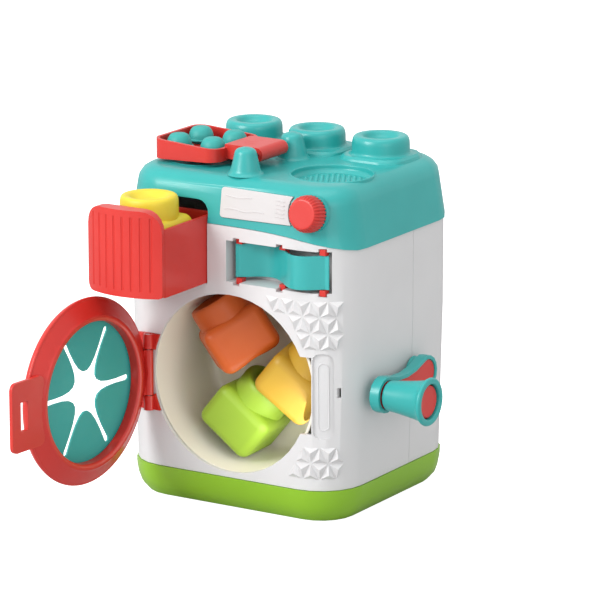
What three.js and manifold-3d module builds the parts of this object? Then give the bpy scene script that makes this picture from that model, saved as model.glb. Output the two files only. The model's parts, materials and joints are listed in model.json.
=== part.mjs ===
// A toy washing machine for toddlers, made as the real one comes apart on a bench.
// Millimetres, +Z up. The origin is the middle of the base's underside. The front face looks along -Y.
// It stands as a child leaves it in play: the door is open and the soap drawer is pulled out.
import * as THREE from 'three';
import { mergeVertices } from 'three/addons/utils/BufferGeometryUtils.js';
import Module from 'manifold-3d';

const wasm = await Module();
wasm.setup();

// Fits and manufacturing values
const gap = 0.3; // between pieces that touch, and where a fixed piece sits in its seat
const run = 0.5; // round pieces that slide or turn
const over = 1; // how far a cutting tool runs past the wall that it cuts
const wall = 2.4; // moulded shell walls
const cornerSteps = 5; // facets in a quarter of a cabinet corner

// Cabinet
const width = 158;
const depth = 140;
const cornerR = 28;
const bodyDraft = 2.2; // the body is this much narrower on each side at the base
const baseH = 20;
const baseInset = 9.5; // the base curves in by this much at the floor
const baseProud = 1;
const baseCurveShare = 0.96; // of a quarter ellipse, so that the foot is not quite level
const baseFloor = 2.8;
const front = -depth / 2;
const back = depth / 2;
const right = width / 2;
const seamBehind = 83; // from the front face back to the seam and the crank
const seamY = front + seamBehind; // the front and back shells meet here

// Drum opening and its axis
const openR = 54.5;
const drumX = 2;
const rimMargin = 3.5;
const axisZ = baseH + rimMargin + openR;
const notchH = 47;
const notchOut = 1.6; // the notch for the latch tab reaches this far past the opening

// Stack of heights over the drum
const drawerRise = 5;
const drawerZ = axisZ + openR + drawerRise;
const drawerH = 52;
const coverRise = 12.5;
const coverZ = drawerZ + drawerH + coverRise;

// Top cover
const skirtDrop = 37; // from the top to the lowest edge, at the right
const skirtArch = 9; // the edge is this much higher on the left
const skirtProud = 1;
const skirtWall = 2.6;
const coverDraft = 4;
const filletW = 12;
const filletH = 11;
const skinTop = 2.6;

// Studs that take the blocks
const studPitch = 45;
const studR = 17.5;
const studH = 11;
const plinthH = 2.5;
const bowlR = 11.5;
const bowlDepth = 3.6;
const studEdge = 3.5;
const bowlLipR = 2;
const bowlFlatShare = 0.6; // of the bowl's radius, at its bottom

// Soft blocks
const blockW = 40;
const blockH = 30;
const blockStudR = 17.3;
const blockStudH = 12.5;
const blockCorner = 6;
const blockWall = 2.6;
const blockSoft = 3; // round of its upper and lower edges
const blockBendShare = 0.3;
const blockStudEdge = 4;

// Drawer
const drawerLeft = -65.9;
const drawerW = 52;
const drawerOut = 44;
const drawerWall = 2;
const drawerTrayH = 41;
const drawerDeep = 56;
const drawerFloorZ = 12; // over the drawer's lower edge
const panelT = 2.8;
const panelBulge = 7.5;

// Drum
const drumClear = 2; // between the front wall and the drum's mouth
const drumInR = openR + 0.5;
const drumWall = 2;
const drumDeep = 59.8;

// Gears: a pinion on the crank shaft turns a crown gear on the back of the drum
const gearModule = 2.2;
const pinionTeeth = 10;
const crownTeeth = 30;
const gearFace = 6.5;
const toothShare = 0.36; // tooth thickness at the pitch line, as a share of the pitch
const addendumShare = 0.8; // of the module
const dedendumShare = 1.1; // of the module

// Crank
const shaftR = 2.5;
const crankArm = 47.5;
const crankRest = 3; // degrees below level, pointing to the front
const crankPlay = 4.5; // from the cabinet's side to the arm
const armEndR = 11;
const armWaist = 6.5;
const armT = 6.5;
const handleR = 12.5;
const handleInnerR = 9;
const handleL = 29;

// Door
const doorLap = 2; // past the opening's edge
const doorR = openR + doorLap;
const ringBand = 13.5; // width of the ring
const doorBoreR = doorR - ringBand;
const doorOpenDeg = 94;
const tabReach = 18; // past the ring
const tabH = 42;
const pivotOut = 2; // from the opening's edge to the hinge axis
const pivotProud = 2;
const pinR = 1.5;
const knuckleR = 3;

// Page on the top
const pageX = 1;
const pageLift = 1.7;
const pageHalfH = 7;
const pageRim = 5.3; // from the hinge axis up to the tray's rim at its free end
const pageW = 46;
const pageD = 52;
const pageInner = 21; // from the hinge axis to the tray
const pageBehind = 20; // behind the front face
const pageWall = 2;
const studClear = 8; // between the page and the studs' plinths
const studBehind = pageBehind + pageD + studClear + studPitch / 2 - run;
const domeR = 7.7;
const domePitch = 24;
const postR = 9.6;
const postTopR = 7;
const postRoundShare = 0.95; // of the top's radius, that its round takes

// Wave strip in the window
const winLeft = -0.2;
const winW = 69;
const winH = 25;
const winRise = 2.8; // from the drawer's lower edge to the window's
const waveA = 9;
const waveT = 1.2;

const { cos, sin, asin, PI, sqrt, hypot } = Math;
const rad = (deg) => (deg * PI) / 180;
const deg = (angle) => (angle * 180) / PI;

// A closed geometry becomes a solid that can be joined and cut
function solid(geometry) {
  const bare = geometry.clone();
  bare.deleteAttribute('normal');
  bare.deleteAttribute('uv');
  const merged = mergeVertices(bare, 1e-4);
  const index = [...merged.index.array];
  const build = (triangles) =>
    new wasm.Manifold(
      new wasm.Mesh({
        numProp: 3,
        vertProperties: new Float32Array(merged.attributes.position.array),
        triVerts: new Uint32Array(triangles),
      }),
    );
  const made = build(index);
  if (made.volume() > 0) return made;
  const turned = index.slice();
  for (let i = 0; i < index.length; i += 3) {
    turned[i + 1] = index[i + 2];
    turned[i + 2] = index[i + 1];
  }
  return build(turned);
}

function geometryOf(manifold) {
  const mesh = manifold.getMesh();
  const indexed = new THREE.BufferGeometry();
  const stride = mesh.numProp;
  const count = mesh.vertProperties.length / stride;
  const position = new Float32Array(count * 3);
  for (let i = 0; i < count; i++) {
    for (let k = 0; k < 3; k++) position[i * 3 + k] = mesh.vertProperties[i * stride + k];
  }
  indexed.setAttribute('position', new THREE.BufferAttribute(position, 3));
  indexed.setIndex([...mesh.triVerts]);
  const geometry = indexed.toNonIndexed();
  geometry.computeVertexNormals();
  return geometry;
}

const join = (first, ...others) => others.reduce((sum, next) => sum.add(next), first);
const cut = (first, ...others) => others.reduce((sum, next) => sum.subtract(next), first);

// A block given by its limits
function box(x0, x1, y0, y1, z0, z1) {
  const geometry = new THREE.BoxGeometry(x1 - x0, y1 - y0, z1 - z0);
  return solid(geometry.translate((x0 + x1) / 2, (y0 + y1) / 2, (z0 + z1) / 2));
}

// Turns a shape that was made round the Y axis onto an axis of the part, at a place across that axis
function onAxis(geometry, axis, [a, b]) {
  if (axis === 'x') return geometry.rotateZ(-PI / 2).translate(0, a, b);
  if (axis === 'z') return geometry.rotateX(PI / 2).translate(a, b, 0);
  return geometry.translate(a, 0, b);
}

// A round of radius r0 at the low end and r1 at the high end of its axis
function round(axis, at, low, high, r0, r1 = r0, sides = 24) {
  const geometry = new THREE.CylinderGeometry(r1, r0, high - low, sides);
  return solid(onAxis(geometry.translate(0, (low + high) / 2, 0), axis, at));
}

// A turned piece: its profile is a list of [radius, place along the axis]
function turned(axis, at, profile, sides = 32) {
  const points = profile.map(([r, h]) => new THREE.Vector2(r, h));
  return solid(onAxis(new THREE.LatheGeometry(points, sides), axis, at));
}

function arc(cx, cy, r, from, to, steps) {
  const points = [];
  for (let i = 0; i <= steps; i++) {
    const a = rad(from + ((to - from) * i) / steps);
    points.push([cx + r * cos(a), cy + r * sin(a)]);
  }
  return points;
}

function roundRect(x0, x1, y0, y1, r, steps = 4) {
  return [
    ...arc(x1 - r, y0 + r, r, -90, 0, steps),
    ...arc(x1 - r, y1 - r, r, 0, 90, steps),
    ...arc(x0 + r, y1 - r, r, 90, 180, steps),
    ...arc(x0 + r, y0 + r, r, 180, 270, steps),
  ];
}

// A plate whose outline lies across the given axis, from low to high along it
function plate(axis, outline, low, high) {
  const shape = new THREE.Shape(outline.map(([a, b]) => new THREE.Vector2(a, b)));
  const geometry = new THREE.ExtrudeGeometry(shape, { depth: high - low, bevelEnabled: false });
  if (axis === 'y') geometry.rotateX(PI / 2).translate(0, high, 0);
  if (axis === 'x') geometry.rotateX(PI / 2).rotateZ(PI / 2).translate(low, 0, 0);
  if (axis === 'z') geometry.translate(0, 0, low);
  return solid(geometry);
}

// A body lofted through level rounded rectangles: [z, half width, half depth, corner radius]
function loft(sections, [cx, cy] = [0, 0], steps = cornerSteps) {
  const rings = sections.map(([z, halfX, halfY, r]) =>
    roundRect(cx - halfX, cx + halfX, cy - halfY, cy + halfY, r, steps).map(([x, y]) => [x, y, z]),
  );
  const n = rings[0].length;
  const last = (rings.length - 1) * n;
  const index = [];
  for (let k = 0; k < last; k += n) {
    for (let i = 0; i < n; i++) {
      const j = (i + 1) % n;
      index.push(k + i, k + j, k + j + n, k + i, k + j + n, k + i + n);
    }
  }
  for (let i = 1; i + 1 < n; i++) index.push(0, i + 1, i, last, last + i, last + i + 1);
  const geometry = new THREE.BufferGeometry();
  geometry.setAttribute('position', new THREE.Float32BufferAttribute(rings.flat(2), 3));
  geometry.setIndex(index);
  return solid(geometry);
}

// Colours of the mouldings
const finish = (color, roughness, metalness = 0) => ({ color, roughness, metalness });
const white = finish(0xeceaea, 0.35);
const teal = finish(0x5ab9b6, 0.4);
const red = finish(0xe0483f, 0.4);
const lime = finish(0x8fbf3a, 0.4);
const cream = finish(0xddd5c2, 0.3);
const softTeal = finish(0x4fa9a0, 0.6);
const softYellow = finish(0xe8cf3c, 0.55);
const softOrange = finish(0xe8702c, 0.55);
const softGreen = finish(0x98c23a, 0.55);
const softAmber = finish(0xd8b13a, 0.55);
const steel = finish(0xb8bcc0, 0.3, 1);
const acetal = finish(0xe6e6e0, 0.5);

const washer = new THREE.Group();

function add(name, look, manifold, parent = washer) {
  const mesh = new THREE.Mesh(geometryOf(manifold), new THREE.MeshStandardMaterial(look));
  mesh.name = name;
  parent.add(mesh);
  return mesh;
}

// Envelopes of the body and of the cover, each drawn in by a given amount
const ringAt = (z, inset, narrow = 0) => [
  z,
  right - inset - narrow,
  back - inset,
  Math.max(cornerR - inset, cornerR / 8),
];
const draftTop = axisZ + openR * 0.6;
const draftAt = (z) => (bodyDraft * Math.max(0, draftTop - z)) / (draftTop - baseH);
const skirtZ = coverZ - skirtDrop;
const kneeZ = coverZ - filletH;
const coverInset = (z) => -skirtProud + (coverDraft * (z - skirtZ)) / (kneeZ - skirtZ);

function bodyLoft(inset, z0, z1) {
  const levels = z0 < draftTop && draftTop < z1 ? [z0, draftTop, z1] : [z0, z1];
  return loft(levels.map((z) => ringAt(z, inset, draftAt(z))));
}

function coverLoft(inset, z0, top, steps = 4) {
  const sections = [ringAt(z0, inset + coverInset(z0)), ringAt(kneeZ, inset + coverInset(kneeZ))];
  for (let i = 1; i <= steps; i++) {
    const a = rad((90 * i) / steps);
    const z = kneeZ + (top - kneeZ) * sin(a);
    sections.push(ringAt(z, inset + coverInset(kneeZ) + (filletW - inset) * (1 - cos(a))));
  }
  return loft(sections);
}

const straightCover = (inset, z0, z1) => loft([z0, z1].map((z) => ringAt(z, inset + coverInset(z))));

// The skirt's lower edge is level on the left and sweeps down to the right corner
function aboveSkirt(lower) {
  const low = skirtZ - lower;
  const high = skirtZ + skirtArch - lower;
  const sweep = new THREE.CubicBezierCurve(
    new THREE.Vector2(0, high),
    new THREE.Vector2(right * 0.45, high),
    new THREE.Vector2(right * 0.76, low + skirtArch * 0.72),
    new THREE.Vector2(right, low),
  );
  const reach = right + skirtProud + over;
  const outline = [[-reach, high], ...sweep.getPoints(9).map((p) => [p.x, p.y])];
  outline.push([reach, low], [reach, coverZ + over], [-reach, coverZ + over]);
  return plate('y', outline, front - skirtProud - over, back + skirtProud + over);
}

// Places on the front face, followed round its corner: [along the face, up, out of the face]
function onFace(along, z, out) {
  const flat = right - cornerR - draftAt(z);
  const a = Math.max(0, along - flat) / cornerR;
  const x = Math.min(along, flat) + (cornerR + out) * sin(a);
  return [x, front + cornerR - (cornerR + out) * cos(a), z];
}

// Body shell: its upper edge is a collar that plugs into the cover's skirt
const shellZ = baseH + gap;
const collarInset = skirtWall + gap;
const collarTop = kneeZ - wall * 5;
const stepZ = skirtZ - wall * 2;
const shell = cut(
  join(
    cut(bodyLoft(0, shellZ, coverZ), aboveSkirt(gap)),
    straightCover(collarInset, stepZ, collarTop),
  ),
  bodyLoft(wall, shellZ - over, stepZ),
  loft([
    ringAt(stepZ - gap, wall),
    ringAt(skirtZ - gap, collarInset + wall + coverInset(skirtZ)),
    ringAt(collarTop + over, collarInset + wall + coverInset(collarTop)),
  ]),
);

// Opening for the drum, with the notch that lets the latch tab in
const notchX = drumX + openR + notchOut;
const openingTool = join(
  round('y', [drumX, axisZ], front - over, front + wall + over, openR, openR, 44),
  box(drumX, notchX, front - over, front + wall * 2, axisZ - notchH / 2, axisZ + notchH / 2),
);

// Opening for the drawer, closed above by the cover
const drawerRight = drawerLeft + drawerW;
const drawerMid = drawerLeft + drawerW / 2;
const drawerOpening = box(
  drawerLeft - run,
  drawerRight + run,
  front - over,
  front + cornerR / 2,
  drawerZ - gap,
  coverZ,
);

// Latch pocket beside the notch: it keeps its depth as the face turns the corner
const pocketDeep = 1.3;
const pocketW = 11.4;
const pocketHalf = notchH / 2 + wall;
const pocketR = 4;
const pocketSide = 0.6; // land between the notch and the pocket
const pocketTool = cut(
  plate(
    'y',
    roundRect(notchX + pocketSide, notchX + pocketW, axisZ - pocketHalf, axisZ + pocketHalf, pocketR, 3),
    front - over,
    front + cornerR,
  ),
  bodyLoft(pocketDeep, shellZ - over, collarTop),
);
const slotLand = 1.2;
const slotW = 1.8;
const slotH = 6;
const slotRise = 2; // the slot's middle is this far over the drum's axis
const slotX = notchX + pocketW + slotLand;
const slotZ = axisZ + slotRise;
const slotTool = box(
  slotX,
  slotX + slotW,
  front - over,
  front + cornerR,
  slotZ - slotH / 2,
  slotZ + slotH / 2,
);

// Window, its housing and the notches for the lugs of its pins
const winRight = winLeft + winW;
const winBottom = drawerZ + winRise;
const winTop = winBottom + winH;
const housingDeep = 17;
const pinIn = 7; // from the window's left end to the left pin
const pinOff = 2.4; // the centre pin stands past the middle
const pinEnd = 4.6; // from the right pin to the window's right end
const pinXs = [winLeft + pinIn, winLeft + winW / 2 + pinOff, winRight - pinEnd];
const pinBehind = 5.5;
const pinY = front + pinBehind;
const lugHalf = 2;
const lugTall = 1.6;
const housing = box(
  winLeft - wall,
  winRight + wall,
  front + wall / 2,
  front + housingDeep + wall,
  winBottom - wall - lugTall,
  winTop + wall + lugTall,
);
const windowTool = join(
  box(winLeft, winRight, front - over, front + housingDeep, winBottom, winTop),
  ...pinXs.map((x) =>
    box(
      x - lugHalf - gap,
      x + lugHalf + gap,
      front - over,
      pinY + lugHalf + gap,
      winBottom - lugTall - gap,
      winTop + lugTall + gap,
    ),
  ),
);

// Relief of three-sided pyramids in rows beside the opening, turning with the corner
const tileW = 10.4;
const tileH = 10;
const tileRise = 2.2;
const tileShare = 0.86; // of its cell that each pyramid fills
const reliefLeft = 31.9;

function pyramid(along, z, up) {
  const s = up ? 1 : -1;
  const corners = [
    [along - (tileW / 2) * tileShare, z - s * (tileH / 3) * tileShare],
    [along + (tileW / 2) * tileShare, z - s * (tileH / 3) * tileShare],
    [along, z + s * ((tileH * 2) / 3) * tileShare],
  ];
  const points = [
    ...corners.map(([a, b]) => onFace(a, b, -wall / 2)),
    ...corners.map(([a, b]) => onFace(a, b, 0)),
    onFace(along, z, tileRise),
  ];
  const index = [0, 2, 1];
  for (let i = 0; i < 3; i++) {
    const j = (i + 1) % 3;
    index.push(i, j, j + 3, i, j + 3, i + 3, i + 3, j + 3, 6);
  }
  const geometry = new THREE.BufferGeometry();
  geometry.setAttribute('position', new THREE.Float32BufferAttribute(points.flat(), 3));
  geometry.setIndex(index);
  return solid(geometry);
}

const reliefOver = 1.6; // the top row's middle is this much under the opening's top
const reliefTop = axisZ + openR - reliefOver;
const reliefLow = axisZ - pocketHalf - tileH;
const reliefRows = [
  { z: reliefTop, first: 0, count: 9, up: false },
  { z: reliefTop - tileH, first: 3, count: 6, up: false },
  { z: reliefTop - 2 * tileH, first: 4, count: 5, up: false },
  { z: reliefLow, first: 4, count: 5, up: true },
  { z: reliefLow - tileH, first: 3, count: 6, up: true },
];
const pyramids = [];
for (const row of reliefRows) {
  for (let i = 0; i < row.count; i++) {
    const up = row.up === (i % 2 === 0);
    const along = reliefLeft + ((row.first + i) * tileW) / 2;
    const z = row.z + ((up ? -1 : 1) * tileH) / 6;
    pyramids.push(pyramid(along, z, up));
  }
}

// Shelf inside the front shell that the drawer runs on, with its side guides
const shelfT = 2;
const shelfDeep = 68;
const guideH = 5;
const drumOutR = drumInR + drumWall;
const shelfZ = drawerZ - gap - shelfT;
const guide = (x) => box(x, x + wall, front + wall / 2, front + shelfDeep, shelfZ, drawerZ + guideH);
const shelf = cut(
  join(
    box(
      drawerLeft - run - wall,
      drawerRight + run + wall,
      front + wall / 2,
      front + shelfDeep,
      shelfZ,
      drawerZ - gap,
    ),
    guide(drawerLeft - run - wall),
    guide(drawerRight + run),
  ),
  round('y', [drumX, axisZ], front + wall * 2, seamY, drumOutR + run, drumOutR + run, 36),
);

// Bosses for the base's screws
const bossIn = 20;
const bossR = 4.4;
const bossH = 20;
const screwR = 1.5;
const screwHeadR = 3.2;
const screwHeadT = 2.2;
const bossAt = [
  [-right + bossIn, front + bossIn],
  [right - bossIn, front + bossIn],
  [-right + bossIn, back - bossIn],
  [right - bossIn, back - bossIn],
];
function boss([x, y]) {
  const rib = box(x, x + Math.sign(x) * bossIn, y - wall / 2, y + wall / 2, shellZ, shellZ + bossH);
  return cut(
    join(round('z', [x, y], shellZ, shellZ + bossH, bossR, bossR, 12), rib),
    round('z', [x, y], shellZ - over, shellZ + bossH - wall, screwR + gap, screwR + gap, 10),
  );
}

// The gear frame's ends sit between ribs on the side walls, and the crank's bush in the seam
const pinionR = (gearModule * pinionTeeth) / 2;
const crownR = (gearModule * crownTeeth) / 2;
const pitchY = seamY - pinionR;
const addendum = gearModule * addendumShare;
const dedendum = gearModule * dedendumShare;
const frameY0 = pitchY + addendum + run;
const frameT = 3;
const frameHalf = 16;
const ribIn = 5;
function ribFor(side, y) {
  const ends = [side * (right - wall / 2), side * (right - wall - ribIn)];
  return box(...ends, y, y + wall, axisZ - frameHalf, axisZ + frameHalf);
}
const frameRibs = [-1, 1].flatMap((side) => [
  ribFor(side, frameY0 - gap - wall),
  ribFor(side, frameY0 + frameT + gap),
]);
const bushR = 7;
const bushHole = round('x', [seamY, axisZ], right - wall * 2, right + over, bushR + gap, bushR + gap, 24);

// Seat of the door's hinge bracket
const bracketHalf = 23.5;
const bracketOut = 12; // from the opening's edge
const bracketX0 = drumX - openR - bracketOut;
const bracketX1 = drumX - openR * 0.86;
const seatDeep = 1.2;
const bracketSeat = box(
  bracketX0 - gap,
  bracketX1,
  front - over,
  front + seatDeep,
  axisZ - bracketHalf - gap,
  axisZ + bracketHalf + gap,
);

const far = width * 2; // longer than anything that it cuts
const inFront = box(-far, far, -far, seamY - gap / 2, -far, far);
const behind = box(-far, far, seamY + gap / 2, far, -far, far);
const inside = join(
  cut(bodyLoft(wall / 2, shellZ, collarTop), aboveSkirt(gap)),
  straightCover(collarInset + gap, stepZ, collarTop),
);
const frontPieces = [housing, shelf, boss(bossAt[0]), boss(bossAt[1]), ...frameRibs];
let frontShell = join(
  shell,
  ...frontPieces.map((piece) => piece.intersect(inside)),
  ...pyramids,
);
frontShell = cut(
  frontShell,
  openingTool,
  drawerOpening,
  pocketTool,
  slotTool,
  windowTool,
  bracketSeat,
  bushHole,
);
add('front_shell', white, frontShell.intersect(inFront));

// Screw columns on the back wall reach the seam
const columnAt = [
  [-right + cornerR, axisZ + openR * 1.4],
  [right - cornerR, axisZ + openR * 1.4],
  [-right + cornerR, axisZ - openR / 2],
  [right - cornerR, axisZ - openR / 2],
];
const columnR = 4.2;
const columnL = 34;
const sinkDeep = 6;
const column = ([x, z]) => round('y', [x, z], back - columnL, back - wall / 2, columnR, columnR, 14);
const columnBore = ([x, z]) =>
  join(
    round('y', [x, z], back - columnL - over, back + over, screwR + gap, screwR + gap, 10),
    round('y', [x, z], back - sinkDeep, back + over, screwHeadR + gap, screwHeadR + gap, 14),
  );
const backPieces = [boss(bossAt[2]), boss(bossAt[3]), ...columnAt.map(column)];
const backShell = cut(
  join(shell, ...backPieces.map((piece) => piece.intersect(inside))),
  bushHole,
  ...columnAt.map(columnBore),
);
add('back_shell', white, backShell.intersect(behind));

// Lime base: a tray that curves in to the floor, with a lip that locates the shells
function baseLoft(inset, z0, z1, steps = 4) {
  const sections = [];
  for (let i = 0; i <= steps; i++) {
    const z = z0 + ((z1 - z0) * i) / steps;
    const t = Math.max(0, (baseH - z) / baseH);
    const curve = baseInset * (1 - sqrt(1 - t ** 2 * baseCurveShare));
    sections.push(ringAt(z, inset + curve - baseProud, bodyDraft));
  }
  return loft(sections);
}
const lipH = 3.5;
const lip = cut(
  join(
    bodyLoft(wall + gap, baseH - lipH, baseH + lipH),
    bodyLoft(wall - baseProud, baseH - lipH, baseH),
  ),
  bodyLoft(wall * 2, baseH - lipH - over, baseH + lipH + over),
  round('y', [drumX, axisZ], front - over, back, drumOutR + over, drumOutR + over, 40),
);
let base = join(cut(baseLoft(0, 0, baseH), baseLoft(wall, baseFloor, baseH + over, 2)), lip);
for (const at of bossAt) {
  base = join(base, round('z', at, baseFloor - gap, shellZ - gap, bossR, bossR, 12));
  base = cut(
    base,
    round('z', at, -over, baseH + bossH, screwR + gap, screwR + gap, 10),
    round('z', at, -over, baseFloor, screwHeadR + gap, screwHeadR + gap, 12),
    round('z', at, shellZ - gap, shellZ + bossH + over, bossR + gap, bossR + gap, 12),
    box(at[0], Math.sign(at[0]) * right, at[1] - wall, at[1] + wall, shellZ - gap, shellZ + bossH),
  );
}
add('base_tray', lime, base);

function screw(axis, at, head, tip) {
  const s = Math.sign(tip - head);
  const neck = head + s * screwHeadT;
  const span = (a, b, r, sides) => round(axis, at, Math.min(a, b), Math.max(a, b), r, r, sides);
  return join(span(head, neck, screwHeadR, 12), span(neck - s * gap, tip, screwR, 6));
}
const baseScrewHead = baseFloor - gap - screwHeadT;
const baseScrewTip = shellZ + bossH - wall - gap;
bossAt.forEach((at, i) => add(`base_screw_${i + 1}`, steel, screw('z', at, baseScrewHead, baseScrewTip)));
const shellScrewHead = back - sinkDeep + gap + screwHeadT;
columnAt.forEach((at, i) =>
  add(`shell_screw_${i + 1}`, steel, screw('y', at, shellScrewHead, back - columnL + over)),
);

// Stud with round shoulders and a bowl in its top, as on the blocks
function stud([x, y], z, r, h, edge, sides) {
  return turned(
    'z',
    [x, y],
    [
      [0, z - over],
      [r, z - over],
      ...arc(r - edge, z + h - edge, edge, 0, 80, 3),
      ...arc(bowlR + bowlLipR, z + h - bowlLipR, bowlLipR, 95, 145, 1),
      [bowlR * bowlFlatShare, z + h - bowlDepth],
      [0, z + h - bowlDepth],
    ],
    sides,
  );
}

// Teal top cover with the studs, the dishes, the posts of the page and the opening for the drawer
const studY = front + studBehind;
const studTop = coverZ + plinthH + studH;
const plinthHalf = studPitch / 2 - run;
const plinthR = 13; // its corners
const dishX = pageInner + pageW / 2;
const dishY = front + pageBehind + pageD / 2;
const dishR = 24.4;
const dishDeep = 4.6;
const dishLip = 2;
const hingeZ = coverZ + pageLift + pageHalfH;
const postYs = [front + pageBehind, front + pageBehind + pageD];
const postTop = hingeZ + postTopR;
const knobX = 56.8;
const knobDrop = 14.5; // from the top to the knob's axis
const knobZ = coverZ - knobDrop;
const faceTilt = Math.atan2(coverDraft, kneeZ - skirtZ);
const faceY = front + coverInset(knobZ);

// Pieces on the leaning face are made upright at the knob's height, then leaned back with it
const leaned = (manifold) =>
  manifold.translate([0, 0, -knobZ]).rotate([-deg(faceTilt), 0, 0]).translate([0, faceY, knobZ]);

let cover = cut(
  coverLoft(0, skirtZ - gap, coverZ).intersect(aboveSkirt(0)),
  coverLoft(skirtWall, skirtZ - over, coverZ - skinTop, 2),
);
const dishUnder = coverZ - dishDeep - skinTop;
const dishes = [-1, 1].map((side) =>
  round('z', [pageX + side * dishX, dishY], dishUnder, coverZ - skinTop / 2, dishR + wall, dishR + wall, 24),
);
cover = join(cover, ...dishes.map((dish) => dish.intersect(coverLoft(skirtWall / 2, skirtZ, coverZ, 2))));
for (let i = -1; i <= 1; i++) {
  const at = [i * studPitch, studY];
  const flare = [
    [coverZ - over, plinthHalf, plinthHalf, plinthR],
    [coverZ + plinthH / 2, plinthHalf - plinthH / 3, plinthHalf - plinthH / 3, plinthR],
    [coverZ + plinthH, plinthHalf - plinthH, plinthHalf - plinthH, plinthR - plinthH],
  ];
  cover = join(
    cover,
    loft(flare, at, 3),
    stud(at, coverZ + plinthH, studR, studH, studEdge, 18),
  );
}
for (const y of postYs) {
  const profile = [
    [0, coverZ - over],
    [postR, coverZ - over],
    ...arc(0, postTop - postTopR * postRoundShare, postTopR, 10, 70, 3),
    [0, postTop],
  ];
  cover = join(cover, turned('z', [pageX, y], profile, 18));
}
for (const side of [-1, 1]) {
  const profile = [
    [0, coverZ - dishDeep],
    [dishR - dishLip, coverZ - dishDeep],
    [dishR, coverZ - dishDeep + dishLip],
    [dishR + gap, coverZ + over],
    [0, coverZ + over],
  ];
  cover = cut(cover, turned('z', [pageX + side * dishX, dishY], profile, 28));
}
for (let i = -1; i <= 1; i++) {
  const top = studTop - bowlDepth - skinTop;
  cover = cut(
    cover,
    round('z', [i * studPitch, studY], coverZ - skinTop - over, top, studR - wall, studR - wall - over, 14),
  );
}

// Display plate with a bite for the knob, in a shallow seat
const knobR = 11;
const knobGap = 4;
const plateLeft = -4.8;
const plateHalf = 9;
const plateT = 1.6;
const plateSeat = 1;
const plateR = 2;
const cutR = 8; // corners of the cut-out over the drawer
function plateOutline(grow) {
  const r = knobR + knobGap - grow;
  const half = plateHalf + grow;
  const reach = deg(asin(half / (r + gap * 3)));
  return [
    ...arc(knobX, knobZ, r, 180 + reach, 180 - reach, 6),
    ...arc(plateLeft - grow + plateR, knobZ + half - plateR, plateR, 90, 180, 3),
    ...arc(plateLeft - grow + plateR, knobZ - half + plateR, plateR, 180, 270, 3),
  ];
}
const knobBoreR = 3.2;
const padDeep = 7;
const knobPad = cut(
  join(
    leaned(round('y', [knobX, knobZ], 0, padDeep / 2, knobR, knobR, 20)),
    leaned(round('y', [knobX, knobZ], 0, padDeep, knobR * 0.7, knobR * 0.7, 16)),
  ),
  straightCover(skirtWall, stepZ, collarTop + run),
);
cover = join(cover, knobPad);
cover = cut(
  cover,
  leaned(plate('y', plateOutline(gap), -over * 2, plateSeat)),
  leaned(round('y', [knobX, knobZ], -over * 2, padDeep + over, knobBoreR + gap, knobBoreR + gap, 16)),
  plate(
    'y',
    roundRect(drawerLeft - run, drawerRight + run, skirtZ - skirtDrop, knobZ - gap, cutR, 4),
    front - over * 2,
    front + cornerR / 2,
  ),
  round('y', [pageX, hingeZ], postYs[0] - over * 2, postYs[1] + over * 2, pinR + gap, pinR + gap, 12),
);
add('top_cover', teal, cover);
add('display_plate', white, leaned(plate('y', plateOutline(0), plateSeat - gap - plateT, plateSeat - gap)));

// Knob with a fluted rim, and the spring clip that holds it inside the cover
const knobDeep = 10;
const flutes = 22;
const fluteDeep = 0.7;
const knobFlat = 2.2; // the flat face stops short of the rim
const knobEdge = 0.6;
const knobRound = 3;
const knobSoftShare = 0.4; // of the round's depth, at its inner bend
const knobRim = [];
for (let i = 0; i < flutes; i++) {
  for (const [share, r] of [[0, knobR], [0.5, knobR - fluteDeep]]) {
    const a = (2 * PI * (i + share)) / flutes;
    knobRim.push([knobX + r * cos(a), knobZ + r * sin(a)]);
  }
}
const knobCap = turned('y', [knobX, knobZ], [
  [0, -gap - knobDeep],
  [knobR - knobFlat, -gap - knobDeep],
  [knobR - knobEdge, knobRound * knobSoftShare - gap - knobDeep],
  [knobR + gap, knobRound - gap - knobDeep],
  [knobR + gap, -gap],
  [0, -gap],
], 28);
const clipY = padDeep + gap;
const clipT = 1;
const grooveR = knobBoreR - clipT / 2;
const knobStem = cut(
  round('y', [knobX, knobZ], -over, clipY + clipT + wall, knobBoreR, knobBoreR, 14),
  cut(
    round('y', [knobX, knobZ], clipY - gap / 2, clipY + clipT + gap / 2, knobR, knobR, 14),
    round('y', [knobX, knobZ], 0, clipY + wall * 2, grooveR - gap, grooveR - gap, 14),
  ),
);
const knobMould = plate('y', knobRim, -gap - knobDeep, -gap).intersect(knobCap);
add('knob', red, leaned(join(knobMould, knobStem)));
const knobClip = cut(
  round('y', [knobX, knobZ], clipY, clipY + clipT, knobBoreR + wall, knobBoreR + wall, 14),
  round('y', [knobX, knobZ], 0, clipY + wall, grooveR, grooveR, 14),
);
add('knob_clip', steel, leaned(knobClip));

// Wave strip on three pins whose lugs show above and below it
const stripMargin = 2.4;
const lugH = stripMargin - gap;
const rodR = 1.2;
const ends = 3.4; // the strip runs past its outer pins
const rodOff = waveT / 2 + rodR + gap * 1.5;
const waveSlope = Math.atan((PI * waveA) / (pinXs[1] - pinXs[0]));
function wavePin(x, [rodX, rodY], endShape) {
  const rod = round('z', [x + rodX, pinY + rodY], winBottom + gap, winTop - gap, rodR, rodR, 10);
  const lug = (z0, z1) => box(x - lugHalf, x + lugHalf, pinY - lugHalf, pinY + rodY, z0, z1);
  const lower = join(
    lug(winBottom + gap, winBottom + lugH),
    endShape(x, winBottom - lugTall, winBottom + gap * 2),
  );
  const upper = join(lug(winTop - lugH, winTop - gap), endShape(x, winTop - gap * 2, winTop + lugTall));
  return join(rod, lower, upper);
}
const squareEnd = (x, z0, z1) => box(x - lugHalf, x + lugHalf, pinY - lugHalf, pinY + lugHalf, z0, z1);
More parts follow.
